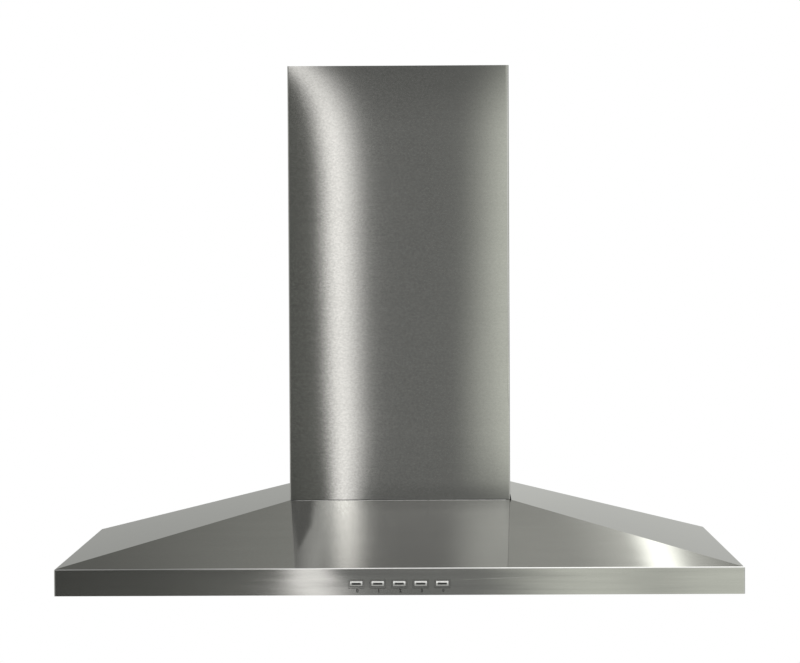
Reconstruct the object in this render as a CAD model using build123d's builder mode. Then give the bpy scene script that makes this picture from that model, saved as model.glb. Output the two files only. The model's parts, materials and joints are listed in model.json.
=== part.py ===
"""Wall-mounted pyramid chimney range hood with telescoping flue cover, blower and filters.

Frame: millimetres, +X to the right, +Y towards the wall, +Z up. The wall is the plane y = 0,
the front band is at y = -hood_depth and z = 0 is the underside of the bottom return.
"""
from build123d import *
from math import acos, atan, cos, degrees, radians, sin, tan
import os

os.makedirs("parts", exist_ok=True)

# ------------------------------------------------------------------ driving dimensions
hood_width = 900.0
hood_depth = 500.0
band_height = 35.0
slope_rise = 72.0
sheet = 1.0
bend_radius = 2.5
plan_corner_radius = 1.5
return_width = 22.0
liner_screw_across = 4
liner_screw_corner = 30.0
liner_screw_rear = 41.0
liner_screw_length = 9.0
countersink_spread = 1.5

chimney_width = 302.0
chimney_depth = 317.0
chimney_height = 594.0
chimney_bend = 1.6
chimney_ledge = 0.8
bend_least = 0.2
rear_flange = 16.0
top_flange = 26.0
telescope_gap = 0.5
upper_height = 588.0
vent_length = 70.0
vent_gap = 28.0
vent_height = 5.0
vent_pitch = 11.0
vent_rows = 7
vent_top_margin = 45.0

ceiling_height = 30.0
ceiling_ear = 36.0
ceiling_drop = 8.0
ceiling_spacing = 200.0
ceiling_hole_radius = 3.0
ceiling_nut_inset = 12.0

back_sheet = 1.0
back_flange = 20.0
back_plate_inset = 31.0
back_plate_top = 510.0
wall_hole_radius = 4.0
upper_hole_spacing = 200.0
upper_hole_margin = 16.0
lower_hole_spacing = 500.0
lower_hole_height = 56.0

liner_recess = 5.0
liner_sheet = 1.0
liner_foot = 18.0
liner_gap = 0.5

filter_side_margin = 35.0
filter_front_margin = 98.5
filter_thickness = 8.5
filter_count = 3
filter_gap = 1.5
filter_rail = 14.0
filter_front_rail = 18.0
filter_drop = 4.0
divider_width = 10.0
filter_rear = 95.0
mesh_sheet = 0.5
mesh_inset = 1.0
tongue_length = 6.0
tongue_root = 2.0
tongue_width = 30.0
tongue_thickness = 1.0
seat_gap = 0.3

latch_travel = 5.0
latch_overlap = 4.0
latch_stem_width = 8.0
latch_stem_depth = 4.0
latch_bolt_width = 20.0
latch_knob_width = 28.0
latch_knob_depth = 10.0
latch_knob_height = 1.5
latch_stem_inset = 2.0
latch_bolt_tail = 4.0
latch_knob_inset = 1.0

button_width = 17.0
button_height = 7.7
button_proud = 2.5
button_travel = 3.0
button_pitch = 28.0
button_count = 5
button_level = 15.0
button_gap = 0.35
button_corner = 0.8
button_edge = 0.7
button_flange = 1.5
button_flange_lip = 1.5
button_slot_width = 11.2
button_slot_height = 1.9
button_slot_depth = 0.9
stem_width = 6.0
stem_height = 4.0
stem_length = 17.0
stem_clearance = 1.0

switch_width = 150.0
switch_depth = 28.0
switch_height = 14.0
switch_setback = 10.0
bracket_sheet = 1.2
bracket_overhang = 8.0

lamp_side_margin = 110.0
lamp_setback = 57.0
lamp_radius = 31.0
lamp_wall = 1.0
lamp_height = 26.0
bezel_radius = 35.0
bezel_lip = 27.0
bezel_thickness = 1.6
lens_thickness = 3.0
bulb_radius = 6.0
bulb_length = 16.0

impeller_radius = 72.0
impeller_inner = 58.0
impeller_end_gap = 15.0
blade_count = 36
blade_sheet = 1.0
blade_tilt = 25.0
impeller_rim = 2.0
hub_radius = 10.0
hub_half = 12.0
shaft_overhang = 2.0
volute_radius = 92.0
volute_step = 15.0
tongue_angle = 120.0
inlet_room = 76.0
casing_sheet = 1.2
outlet_rise = 105.0
casing_lift = 2.0
blower_setback = 182.0
inlet_radius = 62.0
ring_bore = 58.0
ring_radius = 70.0
ring_depth = 5.0
ear_height = 40.0
ear_length = 120.0
window_gap = 3.5
plate_margin = 10.0
plate_rear = 8.0
window_rim = 12.0

motor_radius = 42.0
motor_length = 62.0
motor_wall = 1.5
motor_inset = 3.0
stator_bore = 27.0
rotor_radius = 26.0
rotor_length = 36.0
shaft_radius = 4.0
shaft_clearance = 0.05
bearing_radius = 8.0
bearing_length = 8.0
boss_radius = 11.0
clamp_width = 8.0
clamp_wall = 3.0
arm_width = 14.0
arm_sheet = 2.0
arm_foot_radius = 79.0
grommet_radius = 5.0
grommet_extra = 1.0
m4_radius = 2.0
m4_head = 4.0
m4_head_height = 2.0

adapter_height = 50.0
adapter_wall = 1.2
collar_radius = 75.0
collar_wall = 1.0
collar_height = 60.0
collar_flange = 13.0
collar_setback = 125.0
pin_radius = 2.0
pin_inset = 0.2
pin_height = 16.0
flap_radius = 71.5
flap_sheet = 0.8
flap_gap = 4.0
knuckle_radius = 3.5
knuckle_length = 20.0
knuckle_front = 50.0
knuckle_rear = 20.0
knuckle_root = 1.0
seat_width = 4.0

box_width = 46.0
box_depth = 49.0
box_height = 80.0
box_wall = 1.5
box_inset = 48.0
box_level = 400.0
gland_radius = 9.0
gland_bore = 4.0
gland_height = 14.0
gland_nut_height = 6.3
gland_body_radius = 7.2
terminal_width = 30.0
terminal_height = 14.0
terminal_depth = 16.0
capacitor_width = 36.0
capacitor_depth = 24.0
capacitor_height = 50.0
capacitor_inset = 53.0
lead_radius = 2.5
lead_bend = 12.0
lead_drop = 46.0
lead_step = 35.0
lead_corner = 22.0
lead_run = 34.0
lead_inset = 12.0
motor_lead_bend = 20.0

overlap_cut = 1.0

# ------------------------------------------------------------------ derived levels
canopy_top = band_height + slope_rise
half_width = hood_width / 2
front_slope = atan(slope_rise / (hood_depth - chimney_depth - chimney_ledge))
side_slope = atan(slope_rise / (half_width - chimney_width / 2 - chimney_ledge))
liner_bottom = sheet + liner_recess
liner_top = liner_bottom + liner_sheet
liner_half = half_width - sheet - liner_gap
liner_front = hood_depth - sheet - liner_gap
liner_back = back_sheet + liner_gap
lamp_spacing = hood_width - 2 * lamp_side_margin
filters_width = hood_width - 2 * filter_side_margin - (filter_count - 1) * divider_width
filter_width = filters_width / filter_count - 2 * filter_gap
filter_depth = hood_depth - filter_front_margin - filter_rear - filter_gap
casing_width = chimney_width - 2 * inlet_room
impeller_half = casing_width / 2 - impeller_end_gap
back_plate_width = chimney_width - 2 * back_plate_inset
box_offset = chimney_width / 2 - box_inset
capacitor_offset = chimney_width / 2 - capacitor_inset
opening_half = chimney_width / 2 - top_flange
opening_front = chimney_depth - top_flange


def save(part, label):
    """Label a finished piece and write it under its own name."""
    part.label = label
    export_step(part, f"parts/{label}.step")


# ------------------------------------------------------------------ canopy
def bent_line(points, radius):
    """Two straight walls through three points, with a bend of the radius between them."""
    if radius > 0:
        FilletPolyline(*points, radius=radius)
    else:
        Polyline(*points)


def canopy_form(inset, bend, plan_bend):
    """The band with its hipped top; every wall lies inset inside the outer skin."""
    top = canopy_top - inset
    front = hood_depth - inset
    side = half_width - inset
    floor = -inset
    rear = inset
    below = floor - overlap_cut
    above = top + overlap_cut
    front_eave = band_height + inset * tan(front_slope) - inset / cos(front_slope)
    side_eave = band_height + inset * tan(side_slope) - inset / cos(side_slope)
    front_top = front - (above - front_eave) / tan(front_slope)
    side_top = side - (above - side_eave) / tan(side_slope)
    with BuildPart() as form:
        with BuildSketch(Plane.XY.offset(floor)) as plan:
            with Locations((0, (rear - front) / 2)):
                Rectangle(2 * side, front + rear)
            if plan_bend > 0:
                fillet(plan.vertices().group_by(Axis.Y)[0], radius=plan_bend)
        extrude(amount=top - floor)
        with BuildSketch(Plane.YZ.offset(-half_width - overlap_cut)):
            with BuildLine():
                bent_line([(-front, below), (-front, front_eave), (-front_top, above)], bend)
                Polyline(
                    (-front_top, above),
                    (rear + overlap_cut, above),
                    (rear + overlap_cut, below),
                    (-front, below),
                )
            make_face()
        extrude(amount=hood_width + 2 * overlap_cut, mode=Mode.INTERSECT)
        with BuildSketch(Plane.XZ.offset(-rear - 2 * overlap_cut)):
            with BuildLine():
                bent_line([(-side, below), (-side, side_eave), (-side_top, above)], bend)
                Line((-side_top, above), (side_top, above))
                bent_line([(side_top, above), (side, side_eave), (side, below)], bend)
                Line((side, below), (-side, below))
            make_face()
        extrude(amount=hood_depth + rear + 4 * overlap_cut, mode=Mode.INTERSECT)
    return form.part


outer_form = canopy_form(0, bend_radius, plan_corner_radius)
inner_form = canopy_form(sheet, 0, 0)


def button_place(index):
    """X of a button, numbered from the left."""
    return (index - (button_count - 1) / 2) * button_pitch


with BuildPart() as canopy_shell:
    add(outer_form)
    add(inner_form, mode=Mode.SUBTRACT)
    # turned-in bottom return on the front and the two sides
    with BuildSketch(Plane.XY):
        with Locations((0, -(hood_depth - sheet) / 2)):
            Rectangle(hood_width - 2 * sheet, hood_depth - sheet)
        with Locations((0, -(hood_depth - sheet - return_width) / 2)):
            Rectangle(
                hood_width - 2 * sheet - 2 * return_width,
                hood_depth - sheet - return_width,
                mode=Mode.SUBTRACT,
            )
    extrude(amount=sheet)
    # air opening in the top, open to the wall behind
    with BuildSketch(Plane.XY.offset(canopy_top - sheet - overlap_cut)):
        with Locations((0, -opening_front / 2)):
            Rectangle(2 * opening_half, opening_front)
    extrude(amount=sheet + 2 * overlap_cut, mode=Mode.SUBTRACT)
    # the five button cut-outs in the front band
    with BuildSketch(Plane.XZ.offset(hood_depth + overlap_cut)):
        for index in range(button_count):
            with Locations((button_place(index), button_level)):
                RectangleRounded(
                    button_width + 2 * button_gap, button_height + 2 * button_gap, button_corner
                )
    extrude(amount=-(sheet + 2 * overlap_cut), mode=Mode.SUBTRACT)


# ------------------------------------------------------------------ liner screws and back
screw_inset = sheet + liner_gap + liner_foot / 2
screw_x = half_width - screw_inset
screw_front = hood_depth - screw_inset
screw_row = screw_x - liner_screw_corner
screw_step = 2 * screw_row / (liner_screw_across - 1)
liner_screw_places = [
    (index * screw_step - screw_row, -screw_front) for index in range(liner_screw_across)
]
liner_screw_places += [
    (x, y) for x in (-screw_x, screw_x) for y in (-liner_screw_rear, -hood_depth / 2)
]
head_depth = sheet
head_radius = m4_radius + countersink_spread
screw_hole_top = liner_screw_length + overlap_cut

with BuildPart() as screw_holes:
    with BuildSketch(Plane.XZ):
        with BuildLine():
            Polyline(
                (0, -overlap_cut),
                (head_radius, -overlap_cut),
                (head_radius, 0),
                (m4_radius, head_depth),
                (m4_radius, screw_hole_top),
                (0, screw_hole_top),
                close=True,
            )
        make_face()
    revolve(axis=Axis.Z)
screw_tool = screw_holes.part

with BuildPart() as canopy_cut:
    add(canopy_shell.part)
    for place in liner_screw_places:
        add(Pos(*place) * screw_tool, mode=Mode.SUBTRACT)
save(canopy_cut.part, "canopy_shell")

with BuildPart() as liner_screws:
    for place in liner_screw_places:
        with BuildSketch(Plane.XY):
            with Locations(place):
                Circle(head_radius)
        with BuildSketch(Plane.XY.offset(head_depth)):
            with Locations(place):
                Circle(m4_radius)
        loft()
        with BuildSketch(Plane.XY.offset(head_depth)):
            with Locations(place):
                Circle(m4_radius)
        extrude(amount=liner_screw_length - head_depth)
save(liner_screws.part, "liner_screws")

side_inner = half_width - sheet
back_half = side_inner - return_width
upper_hole_height = back_plate_top - upper_hole_margin

with BuildPart() as back_panel:
    add(inner_form)
    with BuildSketch(Plane.XY):
        with Locations((0, -back_sheet / 2)):
            Rectangle(hood_width, back_sheet)
    extrude(amount=canopy_top, mode=Mode.INTERSECT)
    with BuildSketch(Plane.XY):
        with Locations((0, -back_sheet / 2)):
            Rectangle(2 * back_half, back_sheet)
    extrude(amount=sheet)
    with BuildSketch(Plane.XY):
        with Locations((0, -back_flange / 2)):
            Rectangle(2 * back_half, back_flange)
    extrude(amount=sheet)
    with BuildSketch(Plane.XY):
        for side in (-1, 1):
            with Locations((side * (side_inner - return_width / 2), -back_sheet / 2)):
                Rectangle(return_width, back_sheet)
    extrude(amount=sheet, mode=Mode.SUBTRACT)
    with BuildSketch(Plane.XY.offset(sheet)):
        with Locations((0, -back_sheet / 2)):
            Rectangle(back_plate_width, back_sheet)
    extrude(amount=back_plate_top - sheet)
    with BuildSketch(Plane.XZ.offset(-overlap_cut)):
        with Locations((0, upper_hole_height)):
            with GridLocations(upper_hole_spacing, 0, 2, 1):
                Circle(wall_hole_radius)
        with Locations((0, lower_hole_height)):
            with GridLocations(lower_hole_spacing, 0, 2, 1):
                Circle(wall_hole_radius)
    extrude(amount=back_sheet + 2 * overlap_cut, mode=Mode.SUBTRACT)
save(back_panel.part, "back_panel")


# ------------------------------------------------------------------ flue cover
def flue_channel(shrink, base, height):
    """A folded channel open to the wall, with turned-in rear flanges, shrink inside the outer."""
    width = chimney_width - 2 * shrink
    front = chimney_depth - shrink
    outer_radius = max(chimney_bend - shrink, sheet + bend_least)
    with BuildPart() as channel:
        with BuildSketch(Plane.XY.offset(base)) as outline:
            with Locations((0, -(front + shrink) / 2)):
                Rectangle(width, front - shrink)
            fillet(outline.vertices().group_by(Axis.Y)[0], radius=outer_radius)
        extrude(amount=height)
        with BuildSketch(Plane.XY.offset(base)) as hollow:
            with Locations((0, -(front + shrink) / 2)):
                Rectangle(width - 2 * sheet, front - shrink - 2 * sheet)
            fillet(hollow.vertices().group_by(Axis.Y)[0], radius=outer_radius - sheet)
        extrude(amount=height, mode=Mode.SUBTRACT)
        with BuildSketch(Plane.XY.offset(base)):
            with Locations((0, -(shrink + sheet / 2))):
                Rectangle(width - 2 * rear_flange, 3 * sheet)
        extrude(amount=height, mode=Mode.SUBTRACT)
    return channel.part


lower_base = canopy_top
upper_base = canopy_top + seat_gap
upper_shrink = sheet + telescope_gap
upper_top = upper_base + upper_height

with BuildPart() as lower_chimney:
    add(flue_channel(0, lower_base, chimney_height))
save(lower_chimney.part, "lower_chimney")

vent_level = upper_top - vent_top_margin - (vent_rows - 1) * vent_pitch / 2
with BuildPart() as upper_chimney:
    add(flue_channel(upper_shrink, upper_base, upper_height))
    with BuildSketch(Plane.YZ.offset(-chimney_width)):
        with Locations((-chimney_depth / 2, vent_level)):
            with GridLocations(vent_length + vent_gap, vent_pitch, 2, vent_rows):
                SlotOverall(vent_length, vent_height)
    extrude(amount=2 * chimney_width, mode=Mode.SUBTRACT)

ceiling_back = upper_shrink + sheet
ceiling_half = chimney_width / 2 - upper_shrink - sheet
ceiling_base = upper_top - ceiling_drop - ceiling_height
nut_setback = ceiling_back + ceiling_ear - ceiling_nut_inset

with BuildPart() as chimney_bracket:
    with BuildSketch(Plane.XY.offset(ceiling_base)):
        with Locations((0, -ceiling_back - bracket_sheet / 2)):
            Rectangle(2 * ceiling_half, bracket_sheet)
        for side in (-1, 1):
            with Locations((side * (ceiling_half - bracket_sheet / 2), -ceiling_back - ceiling_ear / 2)):
                Rectangle(bracket_sheet, ceiling_ear)
    extrude(amount=ceiling_height)
    with BuildSketch(Plane.XZ.offset(ceiling_back - overlap_cut)):
        with Locations((0, ceiling_base + ceiling_height / 2)):
            with GridLocations(ceiling_spacing, 0, 2, 1):
                Circle(ceiling_hole_radius)
    extrude(amount=bracket_sheet + 2 * overlap_cut, mode=Mode.SUBTRACT)

nut_height = ceiling_base + ceiling_height / 2
nut_plane = Plane.YZ.offset(-chimney_width)
with BuildPart() as nut_bore:
    with BuildSketch(nut_plane):
        with Locations((-nut_setback, nut_height)):
            Circle(m4_radius)
    extrude(amount=2 * chimney_width)
with BuildPart() as bracket_bored:
    add(chimney_bracket.part)
    add(nut_bore.part, mode=Mode.SUBTRACT)
save(bracket_bored.part, "chimney_bracket")
with BuildPart() as upper_bored:
    add(upper_chimney.part)
    add(nut_bore.part, mode=Mode.SUBTRACT)
save(upper_bored.part, "upper_chimney")

with BuildPart() as bracket_nuts:
    for side in (-1, 1):
        inner_face = side * (ceiling_half - bracket_sheet)
        with BuildSketch(Plane.YZ.offset(inner_face)):
            with Locations((-nut_setback, nut_height)):
                Circle(m4_head)
        extrude(amount=-side * m4_head_height)
        with BuildSketch(Plane.YZ.offset(inner_face)):
            with Locations((-nut_setback, nut_height)):
                Circle(m4_radius)
        extrude(amount=side * (bracket_sheet + sheet))
save(bracket_nuts.part, "bracket_nuts")


# ------------------------------------------------------------------ liner and filters
filter_pitch = filter_width + 2 * filter_gap + divider_width
opening_width = filter_width + 2 * filter_gap
opening_rear = filter_rear
opening_depth = filter_depth + 2 * filter_gap
opening_front_edge = opening_rear + opening_depth
lamp_y = hood_depth - lamp_setback
lamp_hole = lamp_radius - lamp_wall

with BuildPart() as liner_panel:
    liner_mid = -(liner_front + liner_back) / 2
    liner_long = liner_front - liner_back
    with BuildSketch(Plane.XY.offset(sheet)):
        with Locations((0, liner_mid)):
            Rectangle(2 * liner_half, liner_long)
            Rectangle(
                2 * (liner_half - liner_foot), liner_long - 2 * liner_foot, mode=Mode.SUBTRACT
            )
    extrude(amount=liner_sheet)
    with BuildSketch(Plane.XY.offset(sheet)):
        with Locations((0, liner_mid)):
            Rectangle(2 * (liner_half - liner_foot), liner_long - 2 * liner_foot)
    extrude(amount=liner_top - sheet)
    with BuildSketch(Plane.XY.offset(sheet)):
        with Locations((0, liner_mid)):
            Rectangle(
                2 * (liner_half - liner_foot - liner_sheet),
                liner_long - 2 * liner_foot - 2 * liner_sheet,
            )
    extrude(amount=liner_recess, mode=Mode.SUBTRACT)
    with BuildSketch(Plane.XY.offset(liner_bottom - overlap_cut)):
        with Locations((0, -(opening_rear + opening_depth / 2))):
            with GridLocations(filter_pitch, 0, filter_count, 1):
                Rectangle(opening_width, opening_depth)
        with Locations((0, -lamp_y)):
            with GridLocations(lamp_spacing, 0, 2, 1):
                Circle(lamp_hole)
    extrude(amount=liner_sheet + 2 * overlap_cut, mode=Mode.SUBTRACT)
    for place in liner_screw_places:
        add(Pos(*place) * screw_tool, mode=Mode.SUBTRACT)
save(liner_panel.part, "liner_panel")

filter_bottom = liner_top - filter_drop
filter_top = filter_bottom + filter_thickness
filter_front = filter_rear + filter_gap + filter_depth
bolt_bottom = liner_top + seat_gap
bolt_top = bolt_bottom + tongue_thickness
bolt_front = opening_front_edge + latch_overlap
stem_front = filter_front - latch_stem_inset
bolt_rear = stem_front - latch_stem_depth - latch_bolt_tail
stem_top = bolt_top
knob_top = filter_bottom - seat_gap
knob_front = filter_front - latch_knob_inset


def block(x0, x1, y0, y1, z0, z1, mode=Mode.ADD):
    """A box between two corners, added to the builder that is open."""
    with BuildSketch(Plane.XY.offset(z0)) as base:
        with Locations(((x0 + x1) / 2, (y0 + y1) / 2)):
            Rectangle(x1 - x0, y1 - y0)
    extrude(base.sketch, amount=z1 - z0, mode=mode)


def cut_block(x0, x1, y0, y1, z0, z1):
    """A box cut out of the builder that is open."""
    block(x0, x1, y0, y1, z0, z1, mode=Mode.SUBTRACT)


for number in range(1, filter_count + 1):
    middle = (number - (filter_count + 1) / 2) * filter_pitch
    left, right = middle - filter_width / 2, middle + filter_width / 2
    rear = -(filter_rear + filter_gap)
    mesh_front = -filter_front + filter_front_rail
    mesh_rear = rear - filter_rail

    with BuildPart() as filter_frame:
        block(left, right, -filter_front, rear, filter_bottom, filter_top)
        cut_block(
            left + filter_rail,
            right - filter_rail,
            mesh_front,
            mesh_rear,
            filter_bottom - overlap_cut,
            filter_top + overlap_cut,
        )
        for side in (-1, 1):
            tab = middle + side * filter_width / 4
            block(
                tab - tongue_width / 2,
                tab + tongue_width / 2,
                rear - tongue_root,
                -filter_rear + tongue_length,
                bolt_bottom,
                bolt_top,
            )
        # slot for the latch stem, open below, and channel for its bolt, open in front
        cut_block(
            middle - latch_stem_width / 2 - seat_gap,
            middle + latch_stem_width / 2 + seat_gap,
            -stem_front - seat_gap,
            -stem_front + latch_stem_depth + latch_travel + seat_gap,
            filter_bottom - overlap_cut,
            bolt_top + seat_gap,
        )
        cut_block(
            middle - latch_bolt_width / 2 - seat_gap,
            middle + latch_bolt_width / 2 + seat_gap,
            -filter_front - overlap_cut,
            -bolt_rear + latch_travel + seat_gap,
            bolt_bottom - seat_gap,
            bolt_top + seat_gap,
        )
    save(filter_frame.part, f"filter_frame_{number}")

    with BuildPart() as filter_mesh:
        for level in (filter_bottom + mesh_inset, filter_top - mesh_inset - mesh_sheet):
            block(
                left + filter_rail,
                right - filter_rail,
                mesh_front,
                mesh_rear,
                level,
                level + mesh_sheet,
            )
    save(filter_mesh.part, f"filter_mesh_{number}")

    with BuildPart() as filter_latch:
        block(
            middle - latch_knob_width / 2,
            middle + latch_knob_width / 2,
            -knob_front,
            -knob_front + latch_knob_depth,
            knob_top - latch_knob_height,
            knob_top,
        )
        block(
            middle - latch_stem_width / 2,
            middle + latch_stem_width / 2,
            -stem_front,
            -stem_front + latch_stem_depth,
            knob_top,
            stem_top,
        )
        block(
            middle - latch_bolt_width / 2,
            middle + latch_bolt_width / 2,
            -bolt_front,
            -bolt_rear,
            bolt_bottom,
            bolt_top,
        )
    save(filter_latch.part, f"filter_latch_{number}")


# ------------------------------------------------------------------ lamps
lamp_names = {-1: "left", 1: "right"}
for side, name in lamp_names.items():
    centre = (side * lamp_spacing / 2, -lamp_y)
    with BuildPart() as lamp_housing:
        with BuildSketch(Plane.XY.offset(liner_top)):
            with Locations(centre):
                Circle(bezel_radius)
        extrude(amount=lamp_wall)
        with BuildSketch(Plane.XY.offset(liner_top)) as cup:
            with Locations(centre):
                Circle(lamp_radius)
        extrude(amount=lamp_height)
        with BuildSketch(Plane.XY.offset(liner_top)):
            with Locations(centre):
                Circle(lamp_radius - lamp_wall)
        extrude(amount=lamp_height - lamp_wall, mode=Mode.SUBTRACT)
    save(lamp_housing.part, f"lamp_housing_{name}")

    with BuildPart() as lamp_bezel:
        with BuildSketch(Plane.XY.offset(liner_bottom - bezel_thickness)):
            with Locations(centre):
                Circle(bezel_radius)
                Circle(bezel_lip, mode=Mode.SUBTRACT)
        extrude(amount=bezel_thickness)
        outer_edge = lamp_bezel.edges().filter_by(GeomType.CIRCLE).group_by(Axis.Z)[0]
        fillet(outer_edge, radius=bezel_thickness / 2)
    save(lamp_bezel.part, f"lamp_bezel_{name}")

    with BuildPart() as lamp_lens:
        with BuildSketch(Plane.XY.offset(liner_bottom)):
            with Locations(centre):
                Circle(lamp_radius - lamp_wall - seat_gap)
        extrude(amount=lens_thickness)
    save(lamp_lens.part, f"lamp_lens_{name}")

with BuildPart() as lamp_bulbs:
    lamp_ceiling = liner_top + lamp_height - lamp_wall
    with BuildSketch(Plane.XY.offset(lamp_ceiling - bulb_length)) as bulbs:
        with Locations((0, -lamp_y)):
            with GridLocations(lamp_spacing, 0, 2, 1):
                Circle(bulb_radius)
    extrude(amount=bulb_length)
    fillet(lamp_bulbs.edges().group_by(Axis.Z)[0], radius=bulb_radius * 0.7)
save(lamp_bulbs.part, "lamp_bulbs")


# ------------------------------------------------------------------ buttons and switch
band_inner = hood_depth - sheet
flange_front = band_inner - seat_gap
flange_rear = flange_front - button_flange
stem_rear = flange_rear - stem_length
switch_front = hood_depth - switch_setback
switch_rear = switch_front - switch_depth
switch_bottom = button_level - switch_height / 2
socket_depth = switch_front - stem_rear + button_travel + stem_clearance
button_names = ["button_off", "button_speed_1", "button_speed_2", "button_speed_3", "button_light"]

for index, name in enumerate(button_names):
    centre = (button_place(index), button_level)
    with BuildPart() as button:
        with BuildSketch(Plane.XZ.offset(flange_front)):
            with Locations(centre):
                RectangleRounded(button_width, button_height, button_corner)
        extrude(amount=hood_depth - flange_front + button_proud)
        front_rim = button.faces().sort_by(Axis.Y)[0].edges()
        fillet(front_rim, radius=button_edge)
        with BuildSketch(Plane.XZ.offset(hood_depth + button_proud)):
            with Locations(centre):
                Rectangle(button_slot_width, button_slot_height)
        extrude(amount=-button_slot_depth, mode=Mode.SUBTRACT)
        with BuildSketch(Plane.XZ.offset(flange_rear)):
            with Locations(centre):
                Rectangle(
                    button_width + 2 * button_flange_lip, button_height + 2 * button_flange_lip
                )
        extrude(amount=button_flange)
        with BuildSketch(Plane.XZ.offset(stem_rear)):
            with Locations(centre):
                Rectangle(stem_width, stem_height)
        extrude(amount=stem_length)
    save(button.part, name)

with BuildPart() as switch_body:
    block(
        -switch_width / 2,
        switch_width / 2,
        -switch_front,
        -switch_rear,
        switch_bottom,
        switch_bottom + switch_height,
    )
    with BuildSketch(Plane.XZ.offset(switch_front)):
        for index in range(button_count):
            with Locations((button_place(index), button_level)):
                Rectangle(stem_width + 2 * seat_gap, stem_height + 2 * seat_gap)
    extrude(amount=-socket_depth, mode=Mode.SUBTRACT)
save(switch_body.part, "switch_body")

tray_front = liner_front - liner_foot - liner_sheet
with BuildPart() as switch_bracket:
    block(
        -switch_width / 2 - bracket_sheet,
        switch_width / 2 + bracket_sheet,
        -tray_front,
        -switch_rear + bracket_overhang,
        liner_top,
        switch_bottom,
    )
    for side in (-1, 1):
        inner = side * switch_width / 2
        outer = side * (switch_width / 2 + bracket_sheet)
        block(
            min(inner, outer),
            max(inner, outer),
            -tray_front,
            -switch_rear,
            liner_top,
            switch_bottom + switch_height,
        )
save(switch_bracket.part, "switch_bracket")


# ------------------------------------------------------------------ blower
plate_top = canopy_top + bracket_sheet
blower_axis = plate_top + casing_lift + casing_sheet + volute_step / 2 + volute_radius + volute_step
casing_half = casing_width / 2
casing_outer = casing_half + casing_sheet
casing_plane = Plane(origin=(0, -blower_setback, blower_axis), x_dir=(0, -1, 0), z_dir=(-1, 0, 0))
outlet_level = blower_axis + outlet_rise
throat_far = -volute_step / 2 - volute_radius - 2 * volute_step
throat_near = volute_step / 2 + volute_radius * cos(radians(tongue_angle))


def volute(grow):
    """The scroll's outline about the fan's axis, grow outside the inner wall."""
    half_step = volute_step / 2
    first = volute_radius + grow
    second = first + volute_step
    third = second + volute_step
    start = degrees(acos((volute_radius * cos(radians(tongue_angle)) + grow) / first))
    tongue = (half_step + first * cos(radians(start)), -half_step + first * sin(radians(start)))
    wall = -half_step - third
    CenterArc((half_step, -half_step), first, start, -start)
    CenterArc((-half_step, -half_step), second, 0, -90)
    CenterArc((-half_step, half_step), third, -90, -90)
    Polyline((wall, half_step), (wall, outlet_rise), (tongue[0], outlet_rise), tongue)


def volute_solid(grow, half):
    """The scroll as a solid, half its width each way."""
    with BuildPart() as scroll:
        with BuildSketch(casing_plane.offset(-half)):
            with BuildLine():
                volute(grow)
            make_face()
        extrude(amount=2 * half)
    return scroll.part


foot_angles = (60, 180, 300)
foot_places = [
    (arm_foot_radius * cos(radians(angle)), arm_foot_radius * sin(radians(angle)))
    for angle in foot_angles
]
casing_shape = volute_solid(casing_sheet, casing_outer)
casing_space = volute_solid(0, casing_half)
outlet_centre = -blower_setback - (throat_near + throat_far) / 2
throat = throat_near - throat_far
ear_screw_places = [
    (-blower_setback + side * ear_length / 4, plate_top + ear_height / 2) for side in (-1, 1)
]
with BuildPart() as ear_bore:
    with BuildSketch(Plane.YZ.offset(-chimney_width)):
        with Locations(*ear_screw_places):
            Circle(m4_radius)
    extrude(amount=2 * chimney_width)

with BuildPart() as blower_housing:
    add(casing_shape)
    add(casing_space, mode=Mode.SUBTRACT)
    with BuildSketch(casing_plane.offset(-casing_outer - overlap_cut)):
        Circle(inlet_radius)
    extrude(amount=2 * (casing_outer + overlap_cut), mode=Mode.SUBTRACT)
    # screw holes for the motor's three feet, in the left wall
    with BuildSketch(casing_plane.offset(casing_half - overlap_cut)):
        with Locations(*foot_places):
            Circle(m4_radius)
    extrude(amount=casing_sheet + 2 * overlap_cut, mode=Mode.SUBTRACT)
    add(ear_bore.part, mode=Mode.SUBTRACT)
save(blower_housing.part, "blower_housing")

for side, name in lamp_names.items():
    with BuildPart() as inlet_ring:
        with BuildSketch(casing_plane.offset(-side * casing_outer)):
            Circle(ring_radius)
            Circle(ring_bore, mode=Mode.SUBTRACT)
        extrude(amount=-side * ring_depth)
        with BuildSketch(casing_plane.offset(-side * casing_outer)):
            Circle(inlet_radius)
            Circle(ring_bore, mode=Mode.SUBTRACT)
        extrude(amount=side * casing_sheet)
        mouth = inlet_ring.edges().filter_by(GeomType.CIRCLE).group_by(Axis.X)
        outer_rims = mouth[-1] if side > 0 else mouth[0]
        fillet(outer_rims, radius=ring_depth * 0.4)
    save(inlet_ring.part, f"inlet_ring_{name}")

ear_outer = casing_outer + bracket_sheet
plate_half = opening_half + plate_margin
plate_front = opening_front + plate_margin
with BuildPart() as blower_bracket:
    block(-plate_half, plate_half, -plate_front, -plate_rear, canopy_top, plate_top)
    for side in (-1, 1):
        near, far = sorted((side * (ear_outer + window_gap), side * opening_half))
        cut_block(
            near,
            far,
            -opening_front + plate_rear,
            -plate_rear - window_rim,
            canopy_top - overlap_cut,
            plate_top + overlap_cut,
        )
        near, far = sorted((side * casing_outer, side * ear_outer))
        block(
            near,
            far,
            -blower_setback - ear_length / 2,
            -blower_setback + ear_length / 2,
            canopy_top,
            plate_top + ear_height,
        )
    add(ear_bore.part, mode=Mode.SUBTRACT)
save(blower_bracket.part, "blower_bracket")


# ------------------------------------------------------------------ motor, left of the casing
def turned(start, length, outer, inner=0.0):
    """A disc or ring on the fan's axis, start to start + length left of the middle."""
    with BuildSketch(casing_plane.offset(start)) as ring:
        Circle(outer)
        if inner > 0:
            Circle(inner, mode=Mode.SUBTRACT)
    extrude(ring.sketch, amount=length)


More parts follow.
